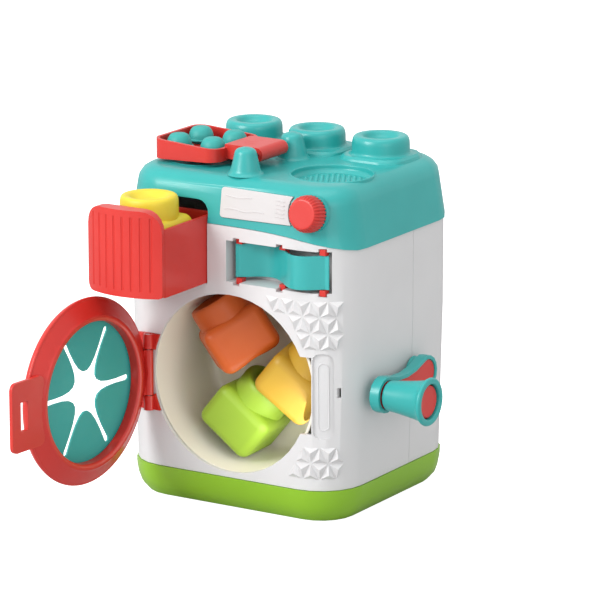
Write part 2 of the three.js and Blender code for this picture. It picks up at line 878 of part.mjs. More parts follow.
const roundEnd = (x, z0, z1) => round('z', [x, pinY], z0, z1, lugHalf, lugHalf, 14);
const rodPlaces = [
  [-rodOff * Math.tan(waveSlope / 2), rodOff],
  [rodOff * sin(waveSlope), rodOff * cos(waveSlope)],
  [0, rodOff],
];
add('wave_pin_left', red, wavePin(pinXs[0], rodPlaces[0], squareEnd));
add('wave_pin_centre', red, wavePin(pinXs[1], rodPlaces[1], roundEnd));
add('wave_pin_right', red, wavePin(pinXs[2], rodPlaces[2], squareEnd));

// From the left pin the strip bows in, and past the centre pin it bows out
function waveOutline() {
  const steps = 24;
  const centre = [];
  for (let i = 0; i <= steps; i++) {
    const x = pinXs[0] - ends + ((pinXs[2] - pinXs[0] + 2 * ends) * i) / steps;
    const along = Math.min(Math.max(x, pinXs[0]), pinXs[2]);
    const k = along < pinXs[1] ? 0 : 1;
    const phase = (along - pinXs[k]) / (pinXs[k + 1] - pinXs[k]);
    centre.push([x, pinY + (k ? -1 : 1) * waveA * sin(PI * phase)]);
  }
  const side = (s) =>
    centre.map(([x, y], i) => {
      const [ax, ay] = centre[Math.max(0, i - 1)];
      const [bx, by] = centre[Math.min(steps, i + 1)];
      const l = hypot(bx - ax, by - ay);
      return [x - (s * (by - ay) * waveT) / 2 / l, y + (s * (bx - ax) * waveT) / 2 / l];
    });
  return [...side(-1), ...side(1).reverse()];
}
add('wave_strip', softTeal, plate('z', waveOutline(), winBottom + stripMargin, winTop - stripMargin));

// Hinge bracket beside the opening: a plate with two knuckles, trimmed round the door's ring
const pivotX = drumX - openR - pivotOut;
const pivotY = front - pivotProud;
const knuckleL = 9;
const knuckle = (z0, z1) => round('z', [pivotX, pivotY], z0, z1, knuckleR, knuckleR, 16);
const hingeBore = (r) =>
  round('z', [pivotX, pivotY], axisZ - bracketHalf - over, axisZ + bracketHalf + over, r, r, 12);
const bracket = cut(
  join(
    box(bracketX0, bracketX1, front - over, front + seatDeep - gap, axisZ - bracketHalf, axisZ + bracketHalf),
    knuckle(axisZ + bracketHalf - knuckleL, axisZ + bracketHalf),
    knuckle(axisZ - bracketHalf, axisZ - bracketHalf + knuckleL),
  ),
  round('y', [drumX, axisZ], front - knuckleR * 2, front + knuckleR * 2, openR + gap, openR + gap, 44),
  box(
    pivotX - knuckleR - run,
    pivotX + knuckleR + run,
    front - knuckleR * 3,
    pivotY + knuckleR + run,
    axisZ - bracketHalf + knuckleL + gap,
    axisZ + bracketHalf - knuckleL - gap,
  ),
  hingeBore(pinR + gap),
);
add('hinge_bracket', red, bracket);
const pinHalf = bracketHalf - gap;
add('hinge_pin', steel, round('z', [pivotX, pivotY], axisZ - pinHalf, axisZ + pinHalf, pinR, pinR, 12));

// Door, made closed in its own frame with the hinge axis at the origin, then swung open
const door = new THREE.Group();
door.position.set(pivotX, pivotY, 0);
door.rotation.z = rad(-doorOpenDeg);
washer.add(door);
const face = pivotProud; // the cabinet's front face in the door's frame
const ringX = drumX - pivotX;
const rimOut = 4.3; // the rim's widest line, out of the cabinet's face
const discOut = 6.4;
const ringOut = 8.4;
const rimY = face - rimOut;
const discY = face - discOut;
const ringFront = face - ringOut;
const discT = 1.4;
const discSeat = 3; // the disc's edge is held over this width
const discR = doorBoreR + discSeat;
const bezelX = 3.6; // from the rim to the bezel
const ringSoft = 1;
const ringEdge = 1.2;
const plugW = 3.4; // the ring's plug, which sits in the cabinet's opening
const plugDeep = 2;
const bezelEdge = 0.8;
const doorAt = [ringX, axisZ];
const ring = turned('y', doorAt, [
  [doorBoreR, discY + discT + gap],
  [discR + gap, discY + discT + gap],
  [discR + gap, discY - gap],
  [doorR - bezelX, discY - gap],
  [doorR - bezelX, ringFront + ringSoft],
  [doorR - bezelX + ringSoft, ringFront],
  [doorR - ringEdge, ringFront + ringSoft],
  [doorR, rimY],
  [doorBoreR + plugW, face + plugDeep - gap],
  [doorBoreR + plugW - ringEdge, face + plugDeep],
  [doorBoreR, face + plugDeep - ringEdge],
  [doorBoreR, discY + discT + gap],
], 36);
const bezel = turned('y', doorAt, [
  [doorBoreR + bezelEdge, discY - gap],
  [doorBoreR + bezelEdge, ringFront + bezelEdge],
  [doorBoreR + bezelEdge + ringEdge, ringFront],
  [doorR - bezelX - gap, ringFront + gap * 2],
  [doorR - bezelX - gap, discY - gap * 2],
  [discR - gap, discY - gap * 2],
  [discR - gap, discY - gap],
  [doorBoreR + bezelEdge, discY - gap],
], 36);

// Latch tab with its slot, and the leaf with the hinge's middle knuckle
const tabX1 = ringX + doorR + tabReach;
const tabRoot = 2.4;
const tabT = 2.2;
const tabSink = 0.8; // the tab reaches this far into the notch
const tabR = 4;
const tabSlotIn = 11; // from the tab's end to the middle of its slot
const tabX0 = ringX + doorBoreR + tabRoot;
const tabY1 = face + tabSink;
const tabY0 = tabY1 - tabT;
const tabSlotX = tabX1 - tabSlotIn;
const tabSlotW = 6.4;
const tabSlotHalf = 8.6;
const tab = cut(
  plate('y', roundRect(tabX0, tabX1, axisZ - tabH / 2, axisZ + tabH / 2, tabR, 3), tabY0, tabY1),
  round('y', doorAt, face - rimOut, face + rimOut, doorBoreR + discSeat / 2, doorBoreR + discSeat / 2, 40),
  box(
    tabSlotX - tabSlotW / 2,
    tabSlotX + tabSlotW / 2,
    tabY0 - over,
    tabY1 + over,
    axisZ - tabSlotHalf,
    axisZ + tabSlotHalf,
  ),
);
const leafHalf = bracketHalf - knuckleL - gap * 2;
const leafReach = 8;
const leafSink = 2.4;
const leaf = cut(
  join(
    round('z', [0, 0], axisZ - leafHalf, axisZ + leafHalf, knuckleR, knuckleR, 16),
    box(0, pivotOut + leafReach, -knuckleR, 0, axisZ - leafHalf, axisZ + leafHalf),
  ),
  round('y', doorAt, face - rimOut * 2, face + rimOut, doorR - leafSink, doorR - leafSink, 40),
  round('z', [0, 0], axisZ - bracketHalf, axisZ + bracketHalf, pinR + gap, pinR + gap, 12),
);
add('door_ring', red, join(ring, tab, leaf), door);
add('door_bezel', red, bezel, door);

// Soft disc with a star-shaped slit of six arms that run together in curves
const starArms = 6;
const starInset = 4; // from the disc's visible edge to the tips
const starTip = doorBoreR - starInset;
const starTipR = 1.8;
const starArmL = 10; // from a tip to where its arm is narrowest
const starNeck = starTip - starArmL;
const starNeckHalf = 1.4;
const starPull = 7.7; // from the middle, where the curves between the arms are drawn to
const starTurn = 0;
function starOutline() {
  const points = [];
  for (let k = 0; k < starArms; k++) {
    const place = (turn) => ([u, v]) => {
      const a = rad(starTurn + ((k + turn) * 360) / starArms);
      return [ringX + u * cos(a) - v * sin(a), axisZ + u * sin(a) + v * cos(a)];
    };
    points.push(...arc(starTip, 0, starTipR, -90, 90, 3).map(place(0)));
    const pulls = [[starNeck, starNeckHalf], [starPull, starNeckHalf]].map(place(0));
    pulls.push(...[[starPull, -starNeckHalf], [starNeck, -starNeckHalf]].map(place(1)));
    const between = new THREE.CubicBezierCurve(...pulls.map(([x, z]) => new THREE.Vector2(x, z)));
    points.push(...between.getPoints(7).map((p) => [p.x, p.y]));
  }
  return points;
}
const disc = cut(
  round('y', doorAt, discY, discY + discT, discR, discR, 36),
  plate('y', starOutline(), discY - over, discY + discT + over),
);
add('door_membrane', softTeal, disc, door);

// Drawer: a tray behind a bowed, ribbed front
const panelY = front - gap - drawerOut;
const bowR = ((drawerW / 2) ** 2 + panelBulge ** 2) / (2 * panelBulge);
const bowY = panelY - panelT - panelBulge + bowR;
const bowHalf = deg(asin(drawerW / 2 / bowR));
const panelPlan = [
  ...arc(drawerMid, bowY, bowR, -90 - bowHalf, -90 + bowHalf, 14),
  [drawerRight, panelY],
  [drawerLeft, panelY],
];
const panelTopR = 12;
const panelLowR = 5;
const panelEdgeR = 2;
const panelOutline = [
  ...arc(drawerRight - panelEdgeR, drawerZ + panelEdgeR, panelEdgeR, -90, 0, 2),
  ...arc(drawerRight - panelTopR, drawerZ + drawerH - panelTopR, panelTopR, 0, 90, 5),
  ...arc(drawerLeft + panelTopR, drawerZ + drawerH - panelTopR, panelTopR, 90, 180, 5),
  ...arc(drawerLeft + panelLowR, drawerZ + panelLowR, panelLowR, 180, 270, 4),
];
const ribs = 8;
const ribR = 0.9;
const ribEnd = 4;
const grooves = [];
for (let i = 0; i < ribs; i++) {
  const x = drawerLeft + (drawerW * (i + 1)) / (ribs + 1);
  const y = bowY - sqrt(bowR ** 2 - (x - drawerMid) ** 2);
  grooves.push(round('z', [x, y - ribR / 3], drawerZ + ribEnd, drawerZ + drawerH - ribEnd, ribR, ribR, 8));
}
const drawerFront = cut(
  plate('z', panelPlan, drawerZ, drawerZ + drawerH).intersect(
    plate('y', panelOutline, panelY - panelT - panelBulge - over, panelY),
  ),
  ...grooves,
);
add('drawer_front', red, drawerFront);
const trayY = panelY + gap;
const innerX = [drawerLeft + drawerWall, drawerRight - drawerWall];
const tray = cut(
  box(drawerLeft, drawerRight, trayY, trayY + drawerDeep, drawerZ, drawerZ + drawerTrayH),
  box(
    ...innerX,
    trayY + drawerWall,
    trayY + drawerDeep - drawerWall,
    drawerZ + drawerFloorZ,
    drawerZ + drawerTrayH + over,
  ),
  box(
    ...innerX,
    trayY + drawerWall,
    trayY + drawerDeep + over,
    drawerZ - over,
    drawerZ + drawerFloorZ - drawerWall,
  ),
);
add('drawer_tray', red, tray);

// A soft block: a rounded body with a stud above and a socket below
function softBlock() {
  const half = blockW / 2;
  const ringOf = (z, inset) => [z, half - inset, half - inset, blockCorner];
  const body = loft(
    [
      ringOf(0, blockSoft / 2),
      ringOf(blockSoft, 0),
      ringOf(blockH - blockSoft, 0),
      ringOf(blockH - blockSoft * blockBendShare, blockSoft * blockBendShare),
      ringOf(blockH, blockSoft),
    ],
    [0, 0],
    3,
  );
  const socketR = half - blockWall;
  const socket = round('z', [0, 0], -over, blockStudH + over, socketR + gap, socketR, 12);
  const top = stud([0, 0], blockH, blockStudR, blockStudH, blockStudEdge, 14);
  return cut(join(body, top), socket).translate([0, 0, -blockH / 2]);
}

function addBlock(name, look, place, turn) {
  const mesh = add(name, look, softBlock());
  mesh.position.set(...place);
  mesh.rotation.set(...turn.map(rad), 'XYZ');
}
addBlock(
  'block_drawer',
  softYellow,
  [drawerMid, trayY + drawerWall + run + blockW / 2, drawerZ + drawerFloorZ + gap + blockH / 2],
  [0, 0, 0],
);
// Places in the drum: the angle round its axis, then in block widths the distance in from the
// drum's wall and the distance behind the front face
const drumBlocks = [
  {
    name: 'block_orange',
    look: softOrange,
    angle: 125.07,
    inShare: 0.7671,
    behindShare: 0.8105,
    turn: [14.4, -29.4, 46],
  },
  {
    name: 'block_green',
    look: softGreen,
    angle: -112.05,
    inShare: 0.5616,
    behindShare: 0.9406,
    turn: [-5.2, 38.1, 6.7],
  },
  {
    name: 'block_yellow',
    look: softAmber,
    angle: -8.12,
    inShare: 0.7474,
    behindShare: 0.9803,
    turn: [0.5, 39.3, 10.5],
  },
];
for (const { name, look, angle, inShare, behindShare, turn } of drumBlocks) {
  const out = drumInR - inShare * blockW;
  const a = rad(angle);
  addBlock(name, look, [drumX + out * cos(a), front + behindShare * blockW, axisZ + out * sin(a)], turn);
}

// Drum: a cup that turns on the gear frame's spindle
const drumAt = [drumX, axisZ];
const drumY = front + wall + drumClear;
const drumBack = drumY + drumDeep;
const spindleR = 4;
const hubR = 9;
const hubT = 0.6;
const cupR = 6; // round of the cup's inner corner
const drumProfile = [
  [spindleR + run / 2, drumBack],
  ...arc(drumInR - cupR, drumBack - cupR, cupR, 90, 0, 2),
  [drumInR, drumY],
  [drumOutR, drumY],
  ...arc(drumOutR - cupR - drumWall, drumBack - cupR, cupR + drumWall, 0, 90, 2),
  [hubR, drumBack + drumWall],
  [hubR, drumBack + drumWall + hubT],
  [spindleR + run / 2, drumBack + drumWall + hubT],
  [spindleR + run / 2, drumBack],
];
add('drum', cream, turned('y', drumAt, drumProfile, 36));

// Crown gear: tapered radial teeth on a ring behind the drum
const crownBackY = drumBack + drumWall + gap;
const crownRootY = pitchY - dedendum;
const toothHalf = (PI * gearModule * toothShare) / 2;
const tipShare = 0.55; // of the thickness at the pitch line, left at the tip
const rootShare = 1.4; // of the thickness at the pitch line, at the root
const crownLedge = 1.2;
const crownRim = gearFace / 2 + crownLedge;
const crownTooth = plate(
  'x',
  [
    [crownRootY - gap, -toothHalf * rootShare],
    [pitchY + addendum, -toothHalf * tipShare],
    [pitchY + addendum, toothHalf * tipShare],
    [crownRootY - gap, toothHalf * rootShare],
  ],
  crownR - gearFace / 2,
  crownR + gearFace / 2,
);
let crown = turned('y', [0, 0], [
  [crownR - crownRim, crownBackY],
  [crownR + crownRim, crownBackY],
  [crownR + crownRim, crownRootY],
  [crownR - crownRim, crownRootY],
  [crownR - crownRim, crownBackY],
], 30);
for (let i = 0; i < crownTeeth; i++) {
  crown = join(crown, crownTooth.rotate([0, (360 * (i + 0.5)) / crownTeeth, 0]));
}
add('crown_gear', acetal, crown.translate([drumX, 0, axisZ]));

// Pinion on the crank's shaft
function pinionOutline() {
  const points = [];
  const place = (r, a) => [seamY + r * cos(rad(a)), axisZ + r * sin(rad(a))];
  const tipR = pinionR + addendum;
  const rootR = pinionR - dedendum;
  for (let i = 0; i < pinionTeeth; i++) {
    const a = (360 * i) / pinionTeeth;
    const tip = deg(asin((toothHalf * tipShare) / tipR));
    const root = deg(asin((toothHalf * rootShare) / rootR));
    points.push(place(rootR, a - root), place(tipR, a - tip), place(tipR, a + tip), place(rootR, a + root));
  }
  return points;
}
const pinionX0 = drumX - crownR - gearFace / 2 - run;
const pinionX1 = pinionX0 + gearFace + 2 * run;
const sleeveL = 5;
const shaftAt = [seamY, axisZ];
const pinion = cut(
  join(
    plate('x', pinionOutline(), pinionX0, pinionX1),
    round('x', shaftAt, pinionX1 - gap, pinionX1 + sleeveL, shaftR + wall, shaftR + wall, 16),
  ),
  round('x', shaftAt, pinionX0 - over, pinionX1 + sleeveL + over, shaftR + gap, shaftR + gap, 14),
);
add('pinion', acetal, pinion);

// Gear frame: a cross beam with the drum's spindle and a bearing at each side of the pinion
const bearingT = 4;
const frameReach = right - wall - bodyDraft;
const bearingHalf = 6.3;
const windowHalf = pinionR + addendum + run;
const bearing = (x) =>
  box(x, x + bearingT, frameY0, seamY + bearingHalf, axisZ - bearingHalf, axisZ + bearingHalf);
const bearingXs = [pinionX0 - run - bearingT, pinionX1 + sleeveL + run];
const spindleBase = drumBack + drumWall + hubT + gap;
const beam = box(-frameReach, frameReach, frameY0, frameY0 + frameT, axisZ - frameHalf, axisZ + frameHalf);
const gearFrame = cut(
  join(
    cut(
      beam,
      box(
        bearingXs[0] + bearingT,
        bearingXs[1],
        frameY0 - over,
        frameY0 + frameT + over,
        axisZ - windowHalf,
        axisZ + windowHalf,
      ),
    ),
    ...bearingXs.map(bearing),
    round('y', drumAt, spindleBase, frameY0 + over, spindleR * 2, spindleR * 2, 20),
    round('y', drumAt, drumBack - wall, spindleBase + over, spindleR, spindleR, 20),
  ),
  round('x', shaftAt, -right, right, shaftR + gap, shaftR + gap, 14),
);
add('gear_frame', acetal, gearFrame);

// Crank: bush in the seam, shaft, peanut-shaped arm with its red inlay, and the turning handle
const armX = right + crankPlay;
const bush = cut(
  join(
    round('x', shaftAt, right - wall * 1.5, right + over, bushR, bushR, 24),
    round('x', shaftAt, right + gap, right + crankPlay - run, bushR + wall, bushR + wall - over, 24),
  ),
  round('x', shaftAt, right - wall * 3, right + crankPlay, shaftR + gap, shaftR + gap, 14),
);
add('crank_bush', teal, bush);
add('crank_shaft', steel, round('x', shaftAt, bearingXs[0] + gap, armX + armT / 2, shaftR, shaftR, 14));

const handleAt = [seamY - crankArm * cos(rad(crankRest)), axisZ - crankArm * sin(rad(crankRest))];

// The arm's outline: two round ends and a narrower waist between them, on the line between the axes
function armOutline(grow) {
  const r = armEndR + grow;
  const half = crankArm / 2;
  const waist = armWaist + grow;
  const neckR = (half ** 2 + waist ** 2 - r ** 2) / (2 * (r - waist));
  const touch = deg(Math.atan2(waist + neckR, half));
  const local = [
    ...arc(crankArm, 0, r, touch - 180, 180 - touch, 10),
    ...arc(half, waist + neckR, neckR, -touch, touch - 180, 4).slice(1, -1),
    ...arc(0, 0, r, touch, 360 - touch, 10),
    ...arc(half, -waist - neckR, neckR, 180 - touch, touch, 4).slice(1, -1),
  ];
  const c = -cos(rad(crankRest));
  const s = -sin(rad(crankRest));
  return local.map(([u, v]) => [shaftAt[0] + u * c - v * s, shaftAt[1] + u * s + v * c]);
}
const armWallT = 2.4;
const inlaySink = 0.8;
const arm = cut(
  plate('x', armOutline(0), armX, armX + armT),
  plate('x', armOutline(-armWallT), armX + armT / 2 + gap * 2, armX + armT + over),
  round('x', shaftAt, armX - over, armX + armT / 2 + gap, shaftR + gap, shaftR + gap, 14),
);
add('crank_arm', teal, arm);
const handlePinR = 4;
const inlay = cut(
  plate('x', armOutline(-armWallT - gap), armX + armT / 2 + gap * 3, armX + armT - inlaySink),
  round('x', handleAt, armX, armX + armT + over, handlePinR + gap, handlePinR + gap, 16),
);
add('crank_inlay', red, inlay);

// Handle: a flared sleeve with a lip, free on its pin, and a red cap in its end
const handleX0 = armX + armT + run;
const handleX1 = handleX0 + handleL;
const handleWall = 2;
const capBack = 5;
const lipOut = 2;
const lipR = handleR + lipOut;
const lipDeep = 2.4;
const lipRamp = 1.6;
const capWall = 3;
const headOut = 2; // the pin's head is this much wider than the pin
const headT = 2.4;
const capIn = 1.6;
const capEdge = 1.4;
const sleeve = turned('x', handleAt, [
  [handlePinR + run, handleX0],
  [handleInnerR - over, handleX0],
  [handleInnerR, handleX0 + over],
  [handleR, handleX1 - lipDeep - lipRamp],
  [lipR, handleX1 - lipDeep],
  [lipR, handleX1 - over],
  [lipR - over, handleX1],
  [handleR - handleWall, handleX1],
  [handleR - handleWall, handleX1 - capBack - capWall],
  [handlePinR + run, handleX1 - capBack - capWall],
  [handlePinR + run, handleX0],
], 22);
add('handle_sleeve', teal, sleeve);
const pinStart = armX + armT / 2 + gap * 3;
const headR = handlePinR + headOut;
const headX1 = handleX1 - capBack - gap * 2;
const headX0 = headX1 - headT + gap * 2;
const handlePin = join(
  round('x', handleAt, pinStart, headX1, handlePinR, handlePinR, 14),
  round('x', handleAt, headX0, headX1, headR, headR, 14),
);
add('handle_pin', red, handlePin);
const capR = handleR - handleWall - gap;
const capProfile = [
  [0, handleX1 - capBack],
  [capR, handleX1 - capBack],
  [capR, handleX1 - capIn - capEdge],
  [capR - capEdge, handleX1 - capIn],
  [0, handleX1 - capIn],
];
add('handle_cap', red, turned('x', handleAt, capProfile, 20));

// Page: a tray with four push domes that flips over on its pin between the posts
const pinY0 = postYs[0] - over;
const pinY1 = postYs[1] + over;
add('page_pin', steel, round('y', [pageX, hingeZ], pinY0, pinY1, pinR, pinR, 12));
const pageX1 = pageX - pageInner;
const pageX0 = pageX1 - pageW;
const pageY0 = front + pageBehind;
const pageY1 = pageY0 + pageD;
const pageTaper = 3;
const leafThick = 4.4;
const leafY0 = pageY0 + postR + over * 2;
const leafY1 = pageY1 - postR - over * 2;
const floorDrop = 3; // from the page's hinge to the tray's floor
const trayFloor = hingeZ - floorDrop;
const pageR = 8;
const pageSide = [
  [pageX0, hingeZ - pageHalfH],
  [pageX1, hingeZ - pageHalfH + pageTaper / 2],
  [pageX1, hingeZ + pageRim - pageTaper],
  [pageX0, hingeZ + pageRim],
];
const pagePlan = (inset) =>
  roundRect(pageX0 + inset, pageX1 - inset, pageY0 + inset, pageY1 - inset, pageR - inset, 4);
const pageBody = plate('y', pageSide, pageY0, pageY1).intersect(
  plate('z', pagePlan(0), hingeZ - pageHalfH * 2, hingeZ + pageHalfH * 2),
);
const pageHollow = (z0, z1) => plate('z', pagePlan(pageWall), z0, z1);
const domeAt = [];
for (const i of [-1, 1]) {
  for (const j of [-1, 1]) {
    const x = (pageX0 + pageX1) / 2 + (i * domePitch) / 2;
    domeAt.push([x, (pageY0 + pageY1) / 2 + (j * domePitch) / 2]);
  }
}
const stemR = 5.4;
const page = cut(
  join(
    pageBody,
    box(pageX1 - over, pageX, leafY0, leafY1, hingeZ - leafThick, hingeZ + leafThick),
    round('y', [pageX, hingeZ], leafY0, leafY1, leafThick, leafThick, 16),
  ),
  pageHollow(trayFloor, hingeZ + pageHalfH * 2),
  pageHollow(hingeZ - pageHalfH * 2, trayFloor - pageWall),
  round('y', [pageX, hingeZ], pageY0, pageY1, pinR + gap, pinR + gap, 12),
  ...domeAt.map((at) => round('z', at, hingeZ - pageHalfH, hingeZ + pageHalfH, stemR + gap, stemR + gap, 12)),
);
add('page_frame', red, page);

// Domes: each slides in its hole, with a thin collar above the floor and a snap rim below
const domeTravel = 1.4;
const domeCollar = 0.8;
const snapT = 1.2;
const domeZ = trayFloor + domeTravel + gap;
const snapZ = trayFloor - pageWall - gap; // under the tray's floor
domeAt.forEach((at, i) => {
  const profile = [
    [0, snapZ - snapT],
    [stemR + over, snapZ - snapT],
    [stemR + over, snapZ],
    [stemR, snapZ],
    [stemR, domeZ],
    [domeR + over, domeZ],
    [domeR + over, domeZ + domeCollar],
    ...arc(0, domeZ + domeCollar, domeR, 0, 64, 2),
    [0, domeZ + domeCollar + domeR],
  ];
  add(`dome_${i + 1}`, softTeal, turned('z', at, profile, 14));
});

export default washer;
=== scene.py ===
"""A toy washing machine, dressed for the studio.

Metres, +Z up, with the door open and the soap drawer pulled out.
"""

import json
import math

import bpy
from mathutils import Matrix, Vector

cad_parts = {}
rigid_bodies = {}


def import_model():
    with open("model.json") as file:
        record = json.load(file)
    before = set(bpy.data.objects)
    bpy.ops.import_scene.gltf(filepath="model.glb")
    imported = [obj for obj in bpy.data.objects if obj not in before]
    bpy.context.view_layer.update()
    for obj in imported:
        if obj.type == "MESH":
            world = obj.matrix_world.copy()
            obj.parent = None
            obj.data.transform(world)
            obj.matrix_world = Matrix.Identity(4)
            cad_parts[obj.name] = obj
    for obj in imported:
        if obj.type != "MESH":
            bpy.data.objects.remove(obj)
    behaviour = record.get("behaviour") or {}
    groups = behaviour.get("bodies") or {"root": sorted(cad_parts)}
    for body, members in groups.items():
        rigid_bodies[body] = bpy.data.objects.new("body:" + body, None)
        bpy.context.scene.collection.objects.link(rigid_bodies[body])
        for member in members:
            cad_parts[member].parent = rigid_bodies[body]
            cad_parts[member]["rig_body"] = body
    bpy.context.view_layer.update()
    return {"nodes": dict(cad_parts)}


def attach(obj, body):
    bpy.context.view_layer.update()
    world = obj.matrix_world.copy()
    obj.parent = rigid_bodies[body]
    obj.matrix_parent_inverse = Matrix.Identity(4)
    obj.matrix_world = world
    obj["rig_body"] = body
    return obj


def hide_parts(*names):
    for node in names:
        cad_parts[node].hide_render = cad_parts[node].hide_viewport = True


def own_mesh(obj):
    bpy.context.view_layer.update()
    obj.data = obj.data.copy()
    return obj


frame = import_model()
nodes = frame["nodes"]
bpy.ops.object.select_all(action="DESELECT")
MM = 0.001


# Cabinet. The front and back shells are moulded in white plastic with a fine satin grain,
# meet at a parting line in front of the crank, and are closed by screws from the back.
def effect(name, sockets):
    """An empty shader group with the given inputs, for an effect that several finishes share."""
    group = bpy.data.node_groups.new(name, "ShaderNodeTree")
    for label, kind, value in sockets:
        socket = group.interface.new_socket(name=label, in_out="INPUT", socket_type=kind)
        socket.default_value = value
    return group, group.nodes.new("NodeGroupInput"), group.nodes.new("NodeGroupOutput")


def moulding_group():
    """Moulded plastic: slow shifts of the colour, a fine spark-eroded grain and uneven gloss."""
    group, given, out = effect(
        "moulded_plastic",
        [
            ("Colour", "NodeSocketColor", (0.8, 0.8, 0.8, 1)),
            ("Flow colour", "NodeSocketColor", (0.7, 0.7, 0.7, 1)),
            ("Roughness", "NodeSocketFloat", 0.35),
            ("Flow scale", "NodeSocketFloat", 18.0),
            ("Grain scale", "NodeSocketFloat", 1600.0),
            ("Grain depth", "NodeSocketFloat", 0.08),
            ("Scuffs", "NodeSocketFloat", 0.2),
        ],
    )
    outputs = (("Colour", "NodeSocketColor"), ("Roughness", "NodeSocketFloat"),
               ("Normal", "NodeSocketVector"))
    for label, kind in outputs:
        group.interface.new_socket(name=label, in_out="OUTPUT", socket_type=kind)
    place = group.nodes.new("ShaderNodeTexCoord")
    flow = group.nodes.new("ShaderNodeTexNoise")
    flow.inputs["Detail"].default_value = 3
    grain = group.nodes.new("ShaderNodeTexNoise")
    grain.inputs["Detail"].default_value = 2
    scuff = group.nodes.new("ShaderNodeTexNoise")
    scuff.inputs["Scale"].default_value = 95
    scuff.inputs["Detail"].default_value = 6
    scuff.inputs["Roughness"].default_value = 0.7
    link = group.links.new
    for texture in (flow, grain, scuff):
        link(place.outputs["Object"], texture.inputs["Vector"])
    link(given.outputs["Flow scale"], flow.inputs["Scale"])
    link(given.outputs["Grain scale"], grain.inputs["Scale"])
    spread = group.nodes.new("ShaderNodeMapRange")
    spread.inputs["From Min"].default_value = 0.35
    spread.inputs["From Max"].default_value = 0.65
    link(flow.outputs["Fac"], spread.inputs["Value"])
    tint = group.nodes.new("ShaderNodeMix")
    tint.data_type = "RGBA"
    link(spread.outputs["Result"], tint.inputs["Factor"])
    link(given.outputs["Colour"], tint.inputs["A"])
    link(given.outputs["Flow colour"], tint.inputs["B"])
    link(tint.outputs["Result"], out.inputs["Colour"])
    marks = group.nodes.new("ShaderNodeMapRange")
    marks.inputs["From Min"].default_value = 0.5
    marks.inputs["From Max"].default_value = 0.75
    link(scuff.outputs["Fac"], marks.inputs["Value"])
    uneven = group.nodes.new("ShaderNodeMath")
    uneven.operation = "MULTIPLY"
    link(marks.outputs["Result"], uneven.inputs[0])
    link(given.outputs["Scuffs"], uneven.inputs[1])
    total = group.nodes.new("ShaderNodeMath")
    total.operation = "ADD"
    link(uneven.outputs["Value"], total.inputs[0])
    link(given.outputs["Roughness"], total.inputs[1])
    link(total.outputs["Value"], out.inputs["Roughness"])
    bump = group.nodes.new("ShaderNodeBump")
    bump.inputs["Distance"].default_value = 0.0002
    link(given.outputs["Grain depth"], bump.inputs["Strength"])
    link(grain.outputs["Fac"], bump.inputs["Height"])
    link(bump.outputs["Normal"], out.inputs["Normal"])
    return group


moulded = moulding_group()


def plastic(name, colour, flow, roughness=0.35, grain=0.08, scuffs=0.12, soft=0.0, coat=0.0):
    """A finish of moulded plastic; soft is how much light gets into it."""
    look = bpy.data.materials.new(name)
    look.use_nodes = True
    tree = look.node_tree
    shader = tree.nodes["Principled BSDF"]
    use = tree.nodes.new("ShaderNodeGroup")
    use.node_tree = moulded
    for label, value in (("Colour", (*colour, 1)), ("Flow colour", (*flow, 1)), ("Roughness", roughness),
                         ("Grain depth", grain), ("Scuffs", scuffs)):
        use.inputs[label].default_value = value
    tree.links.new(use.outputs["Colour"], shader.inputs["Base Color"])
    tree.links.new(use.outputs["Roughness"], shader.inputs["Roughness"])
    tree.links.new(use.outputs["Normal"], shader.inputs["Normal"])
    shader.inputs["IOR"].default_value = 1.5
    shader.inputs["Coat Weight"].default_value = coat
    shader.inputs["Coat Roughness"].default_value = 0.12
    shader.inputs["Subsurface Weight"].default_value = soft
    shader.inputs["Subsurface Scale"].default_value = 0.004
    shader.inputs["Subsurface Radius"].default_value = (1.0, 0.8, 0.7)
    return look


def dress(piece, node, look):
    """Finishes a piece that stands for a CAD node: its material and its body."""
    piece.data.materials.clear()
    piece.data.materials.append(look)
    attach(piece, nodes[node]["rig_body"])
    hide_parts(node)
    return piece


def only(piece):
    """Selects one piece, for the tools that work on the selection."""
    bpy.ops.object.select_all(action="DESELECT")
    piece.select_set(True)
    bpy.context.view_layer.objects.active = piece


def bake_modifiers(piece):
    only(piece)
    for modifier in list(piece.modifiers):
        bpy.ops.object.modifier_apply(modifier=modifier.name)


def smooth(piece, degrees):
    """Shades a piece smoothly, but for edges sharper than the angle."""
    only(piece)
    bpy.ops.object.shade_smooth_by_angle(angle=math.radians(degrees))
    weighted = piece.modifiers.new("even_shading", "WEIGHTED_NORMAL")
    weighted.keep_sharp = True
    bake_modifiers(piece)


FACET_ANGLE = 0.4
EDGE_ANGLE = 32
WELD = 0.000003


def moulding(node, name, look, edge, degrees=38):
    """The node's own moulding with its facets joined and its edges broken by a small radius, in mm."""
    piece = bpy.data.objects.new(name, nodes[node].data.copy())
    bpy.context.scene.collection.objects.link(piece)
    only(piece)
    bpy.ops.object.mode_set(mode="EDIT")
    bpy.ops.mesh.select_all(action="SELECT")
    bpy.ops.mesh.remove_doubles(threshold=WELD)
    bpy.ops.mesh.customdata_custom_splitnormals_clear()
    bpy.ops.mesh.dissolve_limited(angle_limit=math.radians(FACET_ANGLE))
    bpy.ops.object.mode_set(mode="OBJECT")
    bevel = piece.modifiers.new("edge", "BEVEL")
    bevel.width = edge * MM
    bevel.segments = 2
    bevel.limit_method = "ANGLE"
    bevel.angle_limit = math.radians(EDGE_ANGLE)
    bevel.use_clamp_overlap = True
    bake_modifiers(piece)
    smooth(piece, degrees)
    return dress(piece, node, look)


BEFORE_FRONT = -300
FRONT_FACE = -70


def face_at(piece, x, z):
    """The point of a piece's front face at a place across it, in mm."""
    hit, point, _, _ = piece.ray_cast(Vector((x, BEFORE_FRONT, z)) * MM, Vector((0, 1, 0)))
    return point if hit else Vector((x, FRONT_FACE, z)) * MM


